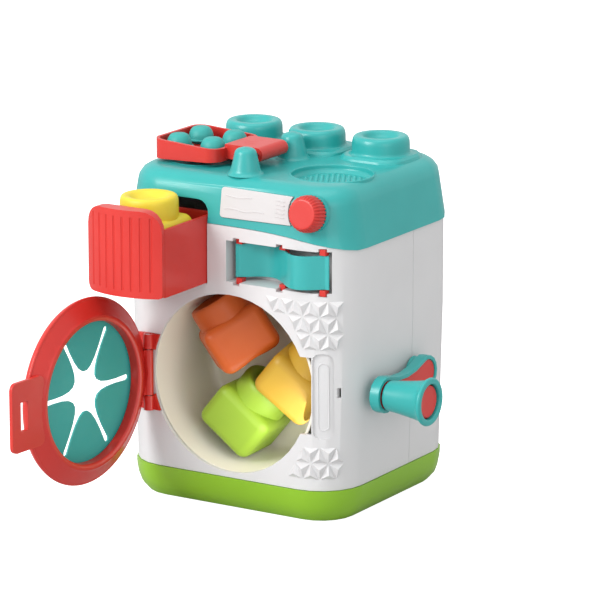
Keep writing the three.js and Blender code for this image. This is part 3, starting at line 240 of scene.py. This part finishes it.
def bead(name, points, radius, closed=False):
    """A fine raised line along points on a face; radius in mm."""
    curve = bpy.data.curves.new(name, "CURVE")
    curve.dimensions = "3D"
    curve.bevel_depth = radius * MM
    curve.bevel_resolution = 3
    curve.use_fill_caps = True
    line = curve.splines.new("POLY")
    line.points.add(len(points) - 1)
    for target, point in zip(line.points, points):
        target.co = (*point, 1)
    line.use_cyclic_u = closed
    piece = bpy.data.objects.new(name, curve)
    bpy.context.scene.collection.objects.link(piece)
    only(piece)
    bpy.ops.object.convert(target="MESH")
    piece = bpy.context.object
    bpy.ops.object.shade_smooth()
    return piece


def fused(main, *others):
    """Joins finer pieces into the moulding that carries them."""
    for other in others:
        other.data.materials.clear()
        other.data.materials.append(main.data.materials[0])
    bpy.ops.object.select_all(action="DESELECT")
    for piece in (main, *others):
        piece.select_set(True)
    bpy.context.view_layer.objects.active = main
    bpy.ops.object.join()
    return main


white = plastic("white_satin", (0.66, 0.655, 0.66), (0.635, 0.63, 0.635), 0.36, 0.1, soft=0.05)
front_piece = moulding("front_shell", "front_moulding", white, 0.35)
# The latch panel has a fine oval line round its middle.
OVAL_X, OVAL_TOP, OVAL_BOTTOM = 63.9, 95.2, 59.8
OVAL_RADIUS = 2.7
OVAL_STEPS = 8
OVAL_LINE = 0.36
oval = []
for centre_z, start in ((OVAL_TOP, 0), (OVAL_BOTTOM, 180)):
    for step in range(OVAL_STEPS + 1):
        turn = math.radians(start + step * 180 / OVAL_STEPS)
        across, up = OVAL_RADIUS * math.cos(turn), OVAL_RADIUS * math.sin(turn)
        oval.append(face_at(front_piece, OVAL_X + across, centre_z + up))
fused(front_piece, bead("panel_line", oval, OVAL_LINE, closed=True))
moulding("back_shell", "back_moulding", white, 0.35)


# Base. A lime green tray, moulded in one piece, whose walls curve in to the floor.
# The cabinet's lip drops into it, and four screws from below hold it.
lime = plastic("lime_gloss", (0.25, 0.49, 0.014), (0.225, 0.45, 0.012), 0.3, 0.05, coat=0.1)
moulding("base_tray", "base_moulding", lime, 0.5)


# Screws and pins. Zinc-plated steel with a fine turned grain. Four screws hold the base and
# four the back shell, the door and the page turn on pins, and a clip holds the dial.
def metal(name, colour, roughness):
    """A metal finish whose gloss wavers with a fine grain."""
    look = bpy.data.materials.new(name)
    look.use_nodes = True
    tree = look.node_tree
    shader = tree.nodes["Principled BSDF"]
    place = tree.nodes.new("ShaderNodeTexCoord")
    grain = tree.nodes.new("ShaderNodeTexNoise")
    grain.inputs["Scale"].default_value = 900
    ramp = tree.nodes.new("ShaderNodeMapRange")
    ramp.inputs["To Min"].default_value = roughness
    ramp.inputs["To Max"].default_value = roughness + 0.2
    tree.links.new(place.outputs["Object"], grain.inputs["Vector"])
    tree.links.new(grain.outputs["Fac"], ramp.inputs["Value"])
    tree.links.new(ramp.outputs["Result"], shader.inputs["Roughness"])
    shader.inputs["Base Color"].default_value = (*colour, 1)
    shader.inputs["Metallic"].default_value = 1
    return look


steel = metal("zinc_steel", (0.55, 0.57, 0.59), 0.28)
for place in range(1, 5):
    moulding(f"base_screw_{place}", f"base_screw_turned_{place}", steel, 0.2)
    moulding(f"shell_screw_{place}", f"shell_screw_turned_{place}", steel, 0.2)
moulding("hinge_pin", "hinge_pin_turned", steel, 0.2)
moulding("page_pin", "page_pin_turned", steel, 0.2)
moulding("knob_clip", "knob_clip_pressed", steel, 0.1)


# Top cover. Teal plastic with block studs, a dish for each side of the page and the page's two posts.
# The studs, the posts and the rims of the dishes are turned; the right dish has a grip of small bumps.
def rounded(corners, steps=5):
    """A closed section: each corner is (radius, height, size of its round), in mm."""
    points = []
    for place, (radius, height, soft) in enumerate(corners):
        here = Vector((radius, height))
        before = Vector(corners[place - 1][:2]) - here
        after = Vector(corners[(place + 1) % len(corners)][:2]) - here
        if not soft:
            points.append(here)
            continue
        start = here + before.normalized() * min(soft, before.length * 0.48)
        end = here + after.normalized() * min(soft, after.length * 0.48)
        for step in range(steps + 1):
            share = step / steps
            points.append(start * (1 - share) ** 2 + here * 2 * share * (1 - share) + end * share**2)
    return points


def spun(name, section, axis="z", at=(0, 0), steps=128):
    """A turned piece: the section spun round an axis of the part, at a place across it, in mm."""
    bpy.ops.object.select_all(action="DESELECT")
    bpy.ops.mesh.primitive_circle_add(vertices=len(section), radius=1)
    piece = bpy.context.object
    piece.name = name
    for vertex, (radius, height) in zip(piece.data.vertices, section):
        vertex.co = (radius * MM, 0, height * MM)
    bpy.ops.object.mode_set(mode="EDIT")
    bpy.ops.mesh.select_all(action="SELECT")
    bpy.ops.mesh.spin(steps=steps, angle=math.tau, center=(0, 0, 0), axis=(0, 0, 1))
    bpy.ops.mesh.select_all(action="SELECT")
    bpy.ops.mesh.remove_doubles(threshold=0.000002)
    bpy.ops.mesh.dissolve_degenerate(threshold=0.000001)
    bpy.ops.mesh.normals_make_consistent(inside=False)
    bpy.ops.object.mode_set(mode="OBJECT")
    a, b = (value * MM for value in at)
    if axis == "x":
        piece.data.transform(Matrix.Translation((0, a, b)) @ Matrix.Rotation(math.radians(90), 4, "Y"))
    elif axis == "y":
        piece.data.transform(Matrix.Translation((a, 0, b)) @ Matrix.Rotation(math.radians(-90), 4, "X"))
    else:
        piece.data.transform(Matrix.Translation((a, b, 0)))
    smooth(piece, 40)
    return piece


STUD_CENTRES = (-0.045, 0, 0.045)
STUD_BACK = 0.032
STUD_BASE = 0.2065
STUD_REACH = 0.0178
STUD_PITCH, STUD_Y = 45, 32
STUD_RADIUS, STUD_FOOT, STUD_TOP, STUD_ROUND = 17.5, 204.5, 215.5, 3.5
DRAWN_IN, DRAWN_DOWN = 0.84, 0.5
PAGE_X = 1
POST_PLACES = (-50, 2)
DISH_SIDE, DISH_Y = 44, -24


def stud_section(radius, foot, top):
    """A stud with a soft shoulder, a thin lip and a bowl."""
    return rounded([(0, foot - 0.5, 0), (radius + 2.4, foot - 0.5, 0), (radius + 2.0, foot + 0.1, 0.8),
                    (radius + 0.06, foot + 0.7, 1.8), (radius - 0.2, top + 0.03, STUD_ROUND * 1.8),
                    (11.2, top + 0.03, 1.6), (8.6, top - 3.9, 2.6), (0, top - 4.2, 0)], 8)


teal = plastic("teal_gloss", (0.028, 0.375, 0.36), (0.022, 0.34, 0.328), 0.34, 0.05, coat=0.08, soft=0.03)
cover = moulding("top_cover", "cover_moulding", teal, 0.5)
# The moulding's own studs are drawn in, so that the finer turned ones cover them.
for vertex in cover.data.vertices:
    for centre in STUD_CENTRES:
        x, y, z = vertex.co
        across, along, above = x - centre, y - STUD_BACK, z - STUD_BASE
        if z > STUD_BASE and math.hypot(across, along) < STUD_REACH:
            vertex.co = (centre + across * DRAWN_IN, STUD_BACK + along * DRAWN_IN,
                         STUD_BASE + above * DRAWN_DOWN)
cover_parts = []
for i in (-1, 0, 1):
    section = stud_section(STUD_RADIUS, STUD_FOOT, STUD_TOP)
    cover_parts.append(spun(f"stud_turned_{i}", section, at=(i * STUD_PITCH, STUD_Y)))
post_section = rounded([
    (0, 201.6, 0), (11.2, 201.6, 0), (10.8, 202.15, 0.8), (9.2, 203.4, 1.8), (7.1, 212, 2),
    (6.2, 216.3, 2.6), (2.5, 217.65, 2.0), (0, 217.68, 0)], 6)
cover_parts += [spun(f"post_turned_{y}", post_section, at=(PAGE_X, y)) for y in POST_PLACES]
rim_section = rounded([(25.4, 201.2, 0), (25.2, 202.25, 0.7), (24.2, 202.2, 0.9), (24.1, 199.4, 0.8),
                       (21.9, 197.2, 1.2), (21.6, 196.6, 0), (25.4, 196.6, 0)])
for side in (-1, 1):
    cover_parts.append(spun(f"dish_rim_{side}", rim_section, at=(PAGE_X + side * DISH_SIDE, DISH_Y)))
GRIP_X = PAGE_X + DISH_SIDE
GRIP_RADIUS = 19.5
BUMP_PITCH, BUMP_ROW = 3.7, 3.3
BUMP_RADIUS, BUMP_FLAT, BUMP_Z = 0.0013, 0.55, 0.1974
bumps = []
for row in range(-5, 6):
    for column in range(-6, 7):
        x, y = GRIP_X + BUMP_PITCH * (column + 0.5 * (row % 2)), DISH_Y + BUMP_ROW * row
        if math.hypot(x - GRIP_X, y - DISH_Y) < GRIP_RADIUS:
            bumps.append((x, y))
for number, (x, y) in enumerate(bumps):
    bpy.ops.object.select_all(action="DESELECT")
    bpy.ops.mesh.primitive_uv_sphere_add(segments=12, ring_count=8, radius=BUMP_RADIUS)
    bump = bpy.context.object
    bump.name = f"dish_bump_{number}"
    bump.data.transform(Matrix.Translation((x * MM, y * MM, BUMP_Z)) @ Matrix.Diagonal((1, 1, BUMP_FLAT, 1)))
    smooth(bump, 60)
    cover_parts.append(bump)
fused(cover, *cover_parts)


# Display plate and dial. A white plate with a few raised lines lies on the cover's front.
# The red knob beside it has a fluted rim and turns on a stem that the clip holds.
plate_white = plastic("plate_white", (0.58, 0.565, 0.565), (0.56, 0.545, 0.545), 0.34, 0.04)
red = plastic("red_gloss", (0.6, 0.026, 0.018), (0.55, 0.02, 0.014), 0.34, 0.05, coat=0.08, soft=0.03)
plate = moulding("display_plate", "plate_moulding", plate_white, 0.3)
lines = []
for step in range(5):
    z = 183.2 + 2.35 * step
    lines.append([(33.5 + 0.85 * k, z + 0.35 * math.sin(k * 0.9)) for k in range(8)])
lines.append([(-1.5 + 1.5 * k, 184.0 + 0.5 * math.sin(k * 0.5)) for k in range(19)])
lines.append([(-1.5 + 1.5 * k, 191.5 + 0.4 * math.sin(k * 0.6 + 1)) for k in range(13)])
PLATE_LINE = 0.32
raised = []
for k, line in enumerate(lines):
    raised.append(bead(f"plate_line_{k}", [face_at(plate, *point) for point in line], PLATE_LINE))
fused(plate, *raised)
KNOB_TILT = Matrix.Rotation(math.atan2(0.15205, 0.98837), 4, "X")
KNOB_FRAME = Matrix.Translation((0.0568, -0.06754, 0.1875)) @ KNOB_TILT.inverted()
FLUTES, FLUTE_SHARE = 32, 0.075
RIM_FROM, RIM_BLEND = 0.0085, 0.0016
knob_section = rounded([
    (0, -10.3, 0), (8.5, -10.3, 1.0), (8.95, -10.0, 0.5), (10.6, -7.6, 2.4), (11.0, -5.6, 1.2),
    (11.0, -0.3, 0.4), (3.2, -0.3, 0), (3.2, 9.0, 0.4), (0, 9.0, 0)], 4)
knob = spun("knob_turned", knob_section, axis="y", steps=256)
for vertex in knob.data.vertices:
    x, y, z = vertex.co
    radius = math.hypot(x, z)
    if y < -0.0002 and radius > RIM_FROM:
        wave = 0.5 - 0.5 * math.cos(FLUTES * math.atan2(z, x))
        reach = min(1.0, (radius - RIM_FROM) / RIM_BLEND)
        vertex.co = (x * (1 - FLUTE_SHARE * wave * reach), y, z * (1 - FLUTE_SHARE * wave * reach))
knob.data.transform(KNOB_FRAME)
dress(knob, "knob", red)


# Wave window. A soft teal strip snaps from one bow to the other in the front's window.
# Three red pins carry it, and the middle one turns with the strip.
rubber_teal = plastic("teal_rubber", (0.03, 0.36, 0.335), (0.024, 0.33, 0.305), 0.5, 0.12, soft=0.05)
for side in ("left", "centre", "right"):
    moulding(f"wave_pin_{side}", f"wave_pin_moulding_{side}", red, 0.25)
strip_teal = plastic("strip_teal", (0.035, 0.4, 0.39), (0.028, 0.37, 0.36), 0.28, 0.02, 0.02,
                     coat=0.2, soft=0.03)
strip = moulding("wave_strip", "wave_strip_soft", strip_teal, 0.2, degrees=60)
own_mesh(strip)


# Door. A red ring and a bezel hold a soft disc with a star-shaped slit between them.
# The ring's leaf turns in the bracket on a steel pin, and its tab clips into the notch.
moulding("hinge_bracket", "bracket_moulding", red, 0.3)
DOOR_FRAME = Matrix.Translation((-0.0545, -0.072, 0)) @ Matrix.Rotation(math.radians(-94), 4, "Z")
ring = moulding("door_ring", "door_ring_moulding", red, 0.35)
DOOR_MIDDLE = (56.5, 78)
ring_section = rounded([
    (42.75, -2.6, 0), (46.4, -2.6, 0), (46.4, -4.75, 0), (52.8, -4.75, 0), (52.85, -5.5, 0),
    (53.9, -6.47, 0.5), (55.5, -5.5, 0.7),
    (56.56, -3.2, 0.8), (56.56, -2.2, 0.5), (55.6, -1.55, 0.5), (55.0, -1.75, 0.3),
    (47.1, 3.25, 0.8), (46.3, 4.0, 0.6), (44.7, 4.07, 0.8), (42.75, 3.3, 0.9)], 4)
ring_skin = spun("door_ring_turned", ring_section, axis="y", at=DOOR_MIDDLE, steps=180)
ring_skin.data.transform(DOOR_FRAME)
fused(ring, ring_skin)
bezel_section = rounded([
    (43.8, -4.7, 0), (43.8, -5.9, 0.4), (45.0, -6.4, 0.6), (52.2, -5.9, 0.5), (52.6, -5.2, 0.3),
    (52.6, -5.0, 0), (45.7, -5.0, 0), (45.7, -4.7, 0)], 4)
bezel = spun("door_bezel_turned", bezel_section, axis="y", at=DOOR_MIDDLE, steps=160)
bezel.data.transform(DOOR_FRAME)
dress(bezel, "door_bezel", red)
moulding("door_membrane", "door_skin_soft", rubber_teal, 0.3)


# Drawer. A red moulded tray behind a bowed front with upright ribs.
# It slides in its opening in the front shell and holds one soft block.
moulding("drawer_front", "drawer_front_moulding", red, 0.4)
moulding("drawer_tray", "drawer_tray_moulding", red, 0.4)


# Blocks. Soft vinyl blocks with a stud on top and a socket below, so that they stack.
# One stands in the drawer and three lie in the drum.
yellow = plastic("yellow_vinyl", (0.75, 0.6, 0.035), (0.7, 0.55, 0.03), 0.45, 0.08, soft=0.1)
orange = plastic("orange_vinyl", (0.6, 0.11, 0.012), (0.55, 0.095, 0.01), 0.45, 0.08, soft=0.1)
green = plastic("green_vinyl", (0.3, 0.47, 0.035), (0.27, 0.43, 0.03), 0.45, 0.08, soft=0.1)
# The yellow block in the drum gets a darker, browner copy of the yellow: painted shade for the dim inside of
# the drum.
painted_shade_yellow = plastic("yellow_vinyl_painted_shade", (0.5, 0.3, 0.025), (0.46, 0.275, 0.02), 0.45, 0.08, soft=0.1)


BLOCK_WIDTH, BLOCK_HEIGHT = 0.04, 0.03
BLOCK_CORNER, BLOCK_EDGE, BLOCK_LIP = 0.006, 0.0026, 0.0005
BLOCK_SHARP = 50


def soft_block(name):
    """A vinyl block: a rounded body with a stud united above and a socket cut below, 40 mm wide."""
    bpy.ops.object.select_all(action="DESELECT")
    bpy.ops.mesh.primitive_cube_add(size=1)
    block = bpy.context.object
    block.name = name
    block.data.transform(Matrix.Diagonal((BLOCK_WIDTH, BLOCK_WIDTH, BLOCK_HEIGHT, 1)))
    bpy.ops.object.mode_set(mode="EDIT")
    bpy.ops.mesh.select_all(action="DESELECT")
    bpy.ops.object.mode_set(mode="OBJECT")
    for edge in block.data.edges:
        ends = [block.data.vertices[index].co for index in edge.vertices]
        edge.select = abs(ends[0].z - ends[1].z) > 0.02
    bpy.ops.object.mode_set(mode="EDIT")
    bpy.ops.mesh.select_mode(type="EDGE")
    bpy.ops.mesh.bevel(offset=BLOCK_CORNER, segments=8, affect="EDGES")
    bpy.ops.mesh.select_mode(type="VERT")
    bpy.ops.object.mode_set(mode="OBJECT")
    edges = block.modifiers.new("soft_edges", "BEVEL")
    edges.width = BLOCK_EDGE
    edges.segments = 5
    edges.limit_method = "ANGLE"
    edges.angle_limit = math.radians(BLOCK_SHARP)
    bake_modifiers(block)
    stud = rounded([
        (0, 12, 0), (17.4, 12, 0), (17.4, 15.2, 0.9), (17.3, 27.5, 4.4), (12.8, 27.5, 2.0),
        (7.4, 23.9, 3.0), (0, 23.9, 0)], 6)
    socket = rounded([(0, -16, 0), (17.8, -16, 0), (17.4, -2.6, 1.0), (0, -2.6, 0)], 5)
    top = spun(name + "_stud", stud, steps=96)
    hole = spun(name + "_socket", socket, steps=96)
    for tool, work in ((top, "UNION"), (hole, "DIFFERENCE")):
        only(block)
        change = block.modifiers.new(tool.name, "BOOLEAN")
        change.operation = work
        change.solver = "EXACT"
        change.object = tool
        bpy.ops.object.modifier_apply(modifier=change.name)
        bpy.data.objects.remove(tool)
    lip = block.modifiers.new("lip", "BEVEL")
    lip.width = BLOCK_LIP
    lip.segments = 3
    lip.limit_method = "ANGLE"
    lip.angle_limit = math.radians(BLOCK_SHARP)
    bake_modifiers(block)
    smooth(block, 40)
    return block


BLOCKS = {
    "block_drawer": (yellow, (-39.9, -91.3, 164.8), (0, 0, 0)),
    "block_orange": (orange, (-11.97, -37.58, 97.9), (14.4, -29.4, 46)),
    "block_green": (green, (-10.21, -32.38, 47.84), (-5.2, 38.1, 6.7)),
    # The drum's yellow block wears the darker copy of the yellow, which is painted shade.
    "block_yellow": (painted_shade_yellow, (26.85, -30.79, 74.45), (0.5, 39.3, 10.5)),
}
for node, (look, place, turns) in BLOCKS.items():
    piece = soft_block(node.replace("block_", "soft_block_"))
    turn = Matrix.Identity(4)
    for angle, axis in zip(turns, "XYZ"):
        turn = turn @ Matrix.Rotation(math.radians(angle), 4, axis)
    piece.data.transform(Matrix.Translation(Vector(place) * MM) @ turn)
    dress(piece, node, look)
    if node == "block_drawer":
        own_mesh(piece)


# Drum. A cream cup, moulded in one piece, that turns behind the round opening.
# The crown gear on its back meets the pinion, and a moulded frame carries both.
cream = plastic("cream_gloss", (0.88, 0.84, 0.74), (0.85, 0.81, 0.7), 0.28, 0.03, soft=0.05)
acetal = plastic("acetal", (0.77, 0.77, 0.73), (0.72, 0.72, 0.68), 0.4, 0.06)
DRUM_MIDDLE = (2, 78)
drum_section = rounded([
    (4.3, -5.8, 0), (55, -5.8, 6.2), (55, -65.6, 0.6), (57, -65.6, 0.6), (57, -3.8, 8), (9, -3.8, 0.3),
    (9, -3.2, 0.3), (4.3, -3.2, 0)], 8)
drum = spun("drum_turned", drum_section, axis="y", at=DRUM_MIDDLE, steps=180)
dress(drum, "drum", cream)
moulding("crown_gear", "crown_gear_moulding", acetal, 0.15)
moulding("pinion", "pinion_moulding", acetal, 0.15)
moulding("gear_frame", "gear_frame_moulding", acetal, 0.3)


# Crank. A teal arm with a red inlay on a steel shaft that runs in a bush in the side.
# The flared handle turns on its own pin and is closed by a red cap.
moulding("crank_bush", "crank_bush_moulding", teal, 0.3)
moulding("crank_shaft", "crank_shaft_turned", steel, 0.2)
moulding("crank_arm", "crank_arm_moulding", teal, 0.5)
moulding("crank_inlay", "crank_inlay_moulding", red, 0.2)
HANDLE_MIDDLE = (-34.43, 75.51)
sleeve_section = rounded([
    (4.5, 90.5, 0), (8.0, 90.5, 0.4), (9.0, 91.5, 0.8), (10.6, 105, 6), (12.5, 115.4, 3), (14.4, 117.3, 0.8),
    (14.5, 118.6, 0.6), (13.6, 119.45, 0.6), (11.2, 119.45, 0.7), (10.5, 118.6, 0.5), (10.5, 111.5, 0),
    (4.5, 111.5, 0)], 5)
sleeve = spun("handle_sleeve_turned", sleeve_section, axis="x", at=HANDLE_MIDDLE, steps=128)
dress(sleeve, "handle_sleeve", teal)
moulding("handle_pin", "handle_pin_moulding", red, 0.2)
cap_section = rounded([
    (0, 114.5, 0), (10.2, 114.5, 0), (10.2, 117.0, 1.4), (9.0, 117.9, 0.8), (6.5, 117.6, 1.0),
    (0, 117.4, 0)], 5)
cap = spun("handle_cap_turned", cap_section, axis="x", at=HANDLE_MIDDLE, steps=96)
dress(cap, "handle_cap", red)


# Page. A red moulded tray with four soft rubber domes that pop when they are pressed.
# It flips over on a steel pin between the cover's two posts.
moulding("page_frame", "page_moulding", red, 0.4)
DOME_Z = 209.4
DOME_PLACES = ((-55, -36), (-55, -12), (-31, -36), (-31, -12))
DOME_SECTION = rounded([
    (0, DOME_Z - 5.2, 0), (6.3, DOME_Z - 5.2, 0.3), (6.3, DOME_Z - 4.1, 0.2), (5.4, DOME_Z - 4.0, 0),
    (5.4, DOME_Z, 0), (8.7, DOME_Z, 0.3), (8.7, DOME_Z + 0.8, 0.4), (7.7, DOME_Z + 0.9, 0.5),
    (7.3, DOME_Z + 4.4, 3.2), (5.0, DOME_Z + 8.1, 3.4), (0, DOME_Z + 8.42, 0)], 7)
for place, at in enumerate(DOME_PLACES, 1):
    dome = spun(f"dome_soft_{place}", DOME_SECTION, at=at, steps=72)
    dress(dome, f"dome_{place}", rubber_teal)


# Studio. A pale floor that the white world runs into. Soft lamps stand at the front left,
# above and at the front right, and a small one lights the drum from inside its mouth.
def lamp(name, place, aim, size, power):
    """A round lamp at a place, turned to its aim."""
    light = bpy.data.lights.new(name, "AREA")
    light.shape = "DISK"
    light.size = size
    light.energy = power
    holder = bpy.data.objects.new(name, light)
    bpy.context.scene.collection.objects.link(holder)
    holder.location = place
    holder.rotation_mode = "QUATERNION"
    holder.rotation_quaternion = (Vector(aim) - Vector(place)).to_track_quat("-Z", "Y")


bpy.ops.object.select_all(action="DESELECT")
bpy.ops.mesh.primitive_plane_add(size=8, location=(0, 0, -0.0005))
floor = bpy.context.object
floor.name = "floor"
floor_paint = bpy.data.materials.new("floor_paint")
floor_paint.use_nodes = True
floor_tree = floor_paint.node_tree
floor_shader = floor_tree.nodes["Principled BSDF"]
floor_shader.inputs["Base Color"].default_value = (0.5, 0.5, 0.5, 1)
floor_shader.inputs["Roughness"].default_value = 0.9
floor_sight = floor_tree.nodes.new("ShaderNodeLightPath")
floor_glow = floor_tree.nodes.new("ShaderNodeEmission")
floor_glow.inputs["Strength"].default_value = 1.0
floor_sum = floor_tree.nodes.new("ShaderNodeAddShader")
floor_tree.links.new(floor_sight.outputs["Is Camera Ray"], floor_glow.inputs["Color"])
floor_tree.links.new(floor_shader.outputs["BSDF"], floor_sum.inputs[0])
floor_tree.links.new(floor_glow.outputs["Emission"], floor_sum.inputs[1])
floor_tree.links.new(floor_sum.outputs["Shader"], floor_tree.nodes["Material Output"].inputs["Surface"])
floor.data.materials.append(floor_paint)

world = bpy.data.worlds.new("studio")
bpy.context.scene.world = world
world.use_nodes = True
world_tree = world.node_tree
sky = world_tree.nodes["Background"]
sky.inputs["Color"].default_value = (1, 1, 1, 1)
sight = world_tree.nodes.new("ShaderNodeLightPath")
level = world_tree.nodes.new("ShaderNodeMapRange")
level.inputs["To Min"].default_value = 0.9
level.inputs["To Max"].default_value = 1.0
world_tree.links.new(sight.outputs["Is Camera Ray"], level.inputs["Value"])
world_tree.links.new(level.outputs["Result"], sky.inputs["Strength"])
lamp("key", (-0.75, -1.65, 1.05), (0, 0, 0.11), 1.0, 29)
lamp("top", (0.1, -0.2, 1.8), (0, 0, 0.1), 1.4, 7)
lamp("side", (1.7, -1.3, 0.7), (0, 0, 0.1), 1.2, 5)
lamp("drum_fill", (0.03, -0.062, 0.05), (-0.05, -0.03, 0.08), 0.05, 0.018)
bpy.data.objects["drum_fill"].visible_camera = False

CAMERA_PLACE, CAMERA_AIM = (1.2891, -2.0666, 0.7254), (0.0511, -0.07, 0.1358)
LENS = 249.1
camera_data = bpy.data.cameras.new("camera")
camera_data.lens = LENS
camera_data.sensor_width = 36
camera_data.clip_start = 0.05
camera_data.clip_end = 50
camera = bpy.data.objects.new("camera", camera_data)
bpy.context.scene.collection.objects.link(camera)
camera.location = CAMERA_PLACE
camera.rotation_mode = "QUATERNION"
camera.rotation_quaternion = (Vector(CAMERA_AIM) - camera.location).to_track_quat("-Z", "Y")
bpy.context.scene.camera = camera
bpy.context.scene.view_settings.view_transform = "Standard"
